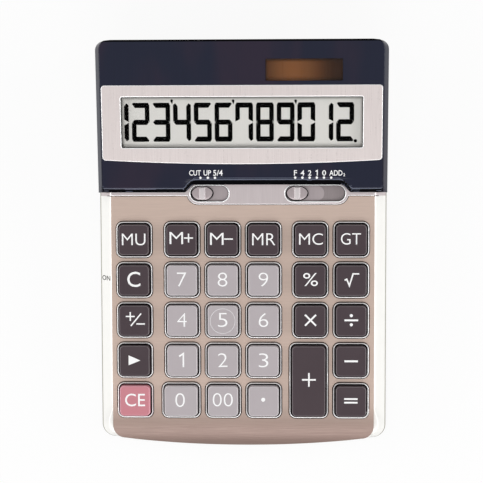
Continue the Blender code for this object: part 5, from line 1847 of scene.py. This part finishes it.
@dataclass
class Markings:
    """Printed switch labels on the cover, their dots, and the word on the left flank."""

    proud: float = 0.00004

    def on_face(self, name: str, meshes: list[Mesh], finish: Finish) -> None:
        """Print meshes on the cover's face."""
        make(name, lay_on(join(meshes), 0.0, self.proud, FACE), finish)

    def word(self, text: str, left: float, top: float, right: float, bottom: float,
             thin: float = -0.012) -> Mesh:
        """Letters fitted to a box of the photograph, on the cover's face."""
        low = VIEW.point(left, bottom, FACE)
        high = VIEW.point(right, top, FACE)
        size = high - low
        if text == "1":
            return unit_prisms([one_outline(1.15) * size[1] + (low + high) / 2])
        return lettering(text, (low + high) / 2, size[0], size[1], thin)

    def build(self) -> None:
        """Labels and dots of both switches."""
        self.on_face("rounding_label", [self.word("CUT", 189.2, 170.2, 200.8, 175.6),
                                        self.word("UP", 203.6, 170.2, 211.0, 175.6),
                                        self.word("5/4", 213.2, 170.0, 222.6, 175.8)], WHITE_INK)
        marks = [self.word(text, left, 170.2, left + width, 175.6)
                 for text, left, width in (("F", 294.0, 3.0), ("4", 300.6, 3.8), ("2", 308.0, 3.4),
                                           ("1", 315.8, 1.9), ("0", 322.2, 3.8),
                                           ("ADD", 329.3, 13.2))]
        marks.append(self.word("2", 343.2, 173.2, 345.2, 176.2))
        self.on_face("decimal_label", marks, WHITE_INK)
        for name, spots, level in (("rounding_dots", (200.4, 207.9, 215.0), 177.8),
                                   ("decimal_dots", (295.2, 302.4, 309.6, 316.8, 324.0, 331.2),
                                    177.6)):
            loops = [disc(0.0006, VIEW.point(px, level, FACE), 18) for px in spots]
            self.on_face(name, [unit_prisms(loops)], WHITE_INK)

    def build_flank_word(self) -> None:
        """The word by the clear key, on the left flank's slope."""
        spot = VIEW.point(105.4, 278.6, DECK)
        points, faces = lettering("ON", spot, 0.0046, 0.0024, -0.008)
        depth = points[:, 0] + BODY.half
        flank = -BODY.parting + BODY.parting * depth / BODY.flank_width
        height = soft_min(np.zeros(1), flank, blend=CaseShell.crease)
        points = ring(points[:, :2], height + (points[:, 2] - 0.4) * 0.0001)
        make("power_word", DECK.lift((points, faces)), GREY_INK)


# ---- Underside


@dataclass
class Underside:
    """Bottom case, battery door, rubber feet and case screws."""

    foot_radius: float = 0.0050
    screw_radius: float = 0.0024
    head_height: float = 0.0011
    cross_reach: float = 0.0014
    cross_half: float = 0.00032
    cross_depth: float = 0.0007

    def smoothed(self, node: str, finish: Finish, body: str) -> None:
        """A merged copy of a solid whose round faces are smooth."""
        mesh = mesh_parts(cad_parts[node].data)
        make(f"{node}_shell", mesh, finish, body, [node], angle=32)

    def build(self) -> None:
        """Bottom case and battery door."""
        self.smoothed("bottom_case", BASE_PLASTIC, CASE)
        self.smoothed("battery_door", BASE_PLASTIC, "battery_door")

    def build_feet(self) -> None:
        """Feet: turned rubber pads with a rounded rim and a shallow dish."""
        for name in (f"foot_{corner}" for corner in CORNERS):
            low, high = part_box(name)
            centre, radius = ((low.x + high.x) / 2, (low.y + high.y) / 2), self.foot_radius
            profile = [(0.0, 0.0002), (radius * 0.6, 0.0002), (radius * 0.72, 0.0)]
            profile += [(radius - 0.0004 + 0.0004 * math.sin(turn), 0.0004 - 0.0004 * math.cos(turn))
                        for turn in np.linspace(0, math.pi / 2, 5)]
            profile += [(radius, high.z), (0.0, high.z)]
            make(f"{name}_pad", turned(profile, centre), Rubber("foot_rubber_skin", (40, 40, 42)),
                 replaces=[name], angle=40)

    def build_screws(self) -> None:
        """Pan heads with a cross recess: a dome whose height drops inside the cross."""
        steel = PlatedSteel("screw_plating", (128, 128, 130), 0.32)
        for name in (f"screw_{corner}" for corner in CORNERS):
            low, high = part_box(name)
            centre = np.array([(low.x + high.x) / 2, (low.y + high.y) / 2])
            angle = np.linspace(0, 2 * math.pi, 64, endpoint=False)
            out = self.screw_radius * np.linspace(0.01, 1, 22)[:, None]
            x, y = out * np.cos(angle), out * np.sin(angle)
            arm = np.minimum(np.abs(x), np.abs(y))
            inside = (arm < self.cross_half) & (out * np.ones_like(x) < self.cross_reach)
            height = (low.z + 0.0003 * (out / self.screw_radius) ** 2
                      + np.where(inside, self.cross_depth, 0))
            head = np.dstack([x + centre[0], y + centre[1], height])
            seat = low.z + self.head_height
            ends = [ring(disc(radius, centre, 64), level)
                    for radius, level in ((self.screw_radius, seat), (0.0012, seat),
                                          (0.0012, high.z), (0.0001, high.z))]
            make(f"{name}_head", loft(np.concatenate([head, np.stack(ends)])), steel,
                 replaces=[name], angle=40)


# ---- Studio


@dataclass
class Studio:
    """Pale floor, even surroundings and soft lamps."""

    floor_size: float = 3.0
    whiteness: float = 0.9
    surround: float = 0.40
    mirrored: float = 0.85
    aim: tuple[float, ...] = (0.0, 0.0, 0.02)

    def floor(self) -> None:
        """A white floor that keeps a soft shadow, and lets the surroundings' light through."""
        mesh = bpy.data.meshes.new("floor")
        half = self.floor_size
        mesh.from_pydata([(-half, -half, 0), (half, -half, 0), (half, half, 0), (-half, half, 0)],
                         [], [(0, 1, 2, 3)])
        placed("floor", mesh)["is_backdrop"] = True
        paint = Paint("floor_white")
        seen_ray, gloss_ray, glass_ray, spread_ray, shadow_ray = (
            paint.node("ShaderNodeLightPath", output=name)
            for name in ("Is Camera Ray", "Is Glossy Ray", "Is Transmission Ray",
                         "Is Diffuse Ray", "Is Shadow Ray"))
        shown = (seen_ray + gloss_ray + glass_ray).maths("MINIMUM", 1.0)
        paint.dress({"Base Color": (0.9, 0.9, 0.9, 1), "Roughness": 0.9,
                     "Specular IOR Level": 0.0})
        glow = paint.node("ShaderNodeEmission", inputs={"Color": (1, 1, 1, 1), "Strength": 1.0})
        lit = paint.node("ShaderNodeMixShader", inputs={
            0: shown * self.whiteness, 1: Wire(paint, paint.shader.outputs[0]), 2: glow})
        back = paint.node("ShaderNodeNewGeometry", output="Backfacing")
        clear = paint.node("ShaderNodeBsdfTransparent")
        open_to = (back + spread_ray + shadow_ray).maths("MINIMUM", 1.0)
        whole = paint.node("ShaderNodeMixShader", inputs={0: open_to, 1: lit, 2: clear})
        output = paint.tree.nodes["Material Output"]
        paint.tree.links.new(whole.socket, output.inputs["Surface"])
        mesh.materials.append(paint.result)

    def world(self) -> None:
        """Even light all round, white where it is seen."""
        world = bpy.data.worlds.new("studio")
        world.use_nodes = True
        tree = world.node_tree
        paint = Paint.of(tree)
        seen_ray, gloss_ray, glass_ray = (
            paint.node("ShaderNodeLightPath", output=name)
            for name in ("Is Camera Ray", "Is Glossy Ray", "Is Transmission Ray"))
        white = seen_ray + (gloss_ray + glass_ray) * (self.mirrored - self.surround)
        level = white.maths("ADD", self.surround).maths("MINIMUM", 1.0)
        background = tree.nodes["Background"]
        background.inputs["Color"].default_value = (1, 1, 1, 1)
        paint.fill(background.inputs["Strength"], level)
        bpy.context.scene.world = world

    def lamp(self, name: str, place: Sequence[float], size: Sequence[float],
             power: float) -> None:
        """A rectangular soft lamp turned to the part.

        Args:
            name: its name.
            place: where it stands.
            size: its width and height.
            power: its strength in watts.
        """
        data = bpy.data.lights.new(name, "AREA")
        data.shape, data.size, data.size_y, data.energy = "RECTANGLE", *size, power
        item = placed(name, data)
        item.location = place
        way = np.array(self.aim) - np.array(place)
        flat = math.hypot(way[0], way[1])
        item.rotation_euler = (math.atan2(flat, -way[2]), 0, math.atan2(-way[0], way[1]))

    def build(self) -> None:
        """Floor, surroundings and lamps."""
        bpy.context.scene.view_settings.view_transform = "Standard"
        self.floor()
        self.world()
        self.lamp("upper_left_lamp", (-0.45, 0.75, 0.9), (1.0, 0.7), 0.9)
        self.lamp("front_lamp", (0.0, -0.80, 0.80), (1.2, 0.45), 5.2)
        for name, x, power in (("left_lamp", -1.0, 4.9), ("right_lamp", 1.0, 5.2)):
            self.lamp(name, (x, 0.0, 0.38), (1.0, 0.3), power)


# ---- All together


def dress_nodes() -> None:
    """Give each CAD node that stays its own finish."""
    for name, finish in NODE_FINISHES.items():
        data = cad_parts[name].data
        data.materials.clear()
        data.materials.append(finish.material())


def main() -> None:
    """Build every sub-assembly in order."""
    logging.basicConfig(level=logging.INFO, format="%(message)s")
    VIEW.build()
    keypad, panel, case, display = Keypad(), SwitchPanel(), CaseShell(), Display()
    case.build()
    case.build_skin(keypad.loops(keypad.well_gap), panel.stem_loops())
    holes = keypad.loops(keypad.well_gap + keypad.rim_wall + keypad.groove)
    Faceplate().build(panel, holes)
    keypad.build_rims()
    keypad.build()
    panel.build()
    panel.build_ends()
    panel.build_knobs()
    DisplayCover().build(panel, [display.frame_loop(0.0001), display.solar_loop(0.0)])
    display.build_frame()
    display.build_figures()
    marks = Markings()
    marks.build()
    marks.build_flank_word()
    underside = Underside()
    underside.build()
    underside.build_feet()
    underside.build_screws()
    dress_nodes()
    Studio().build()
    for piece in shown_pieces():
        LOG.info("piece %s: %d faces", piece.name, len(piece.data.polygons))


if __name__ == "__main__":
    main()
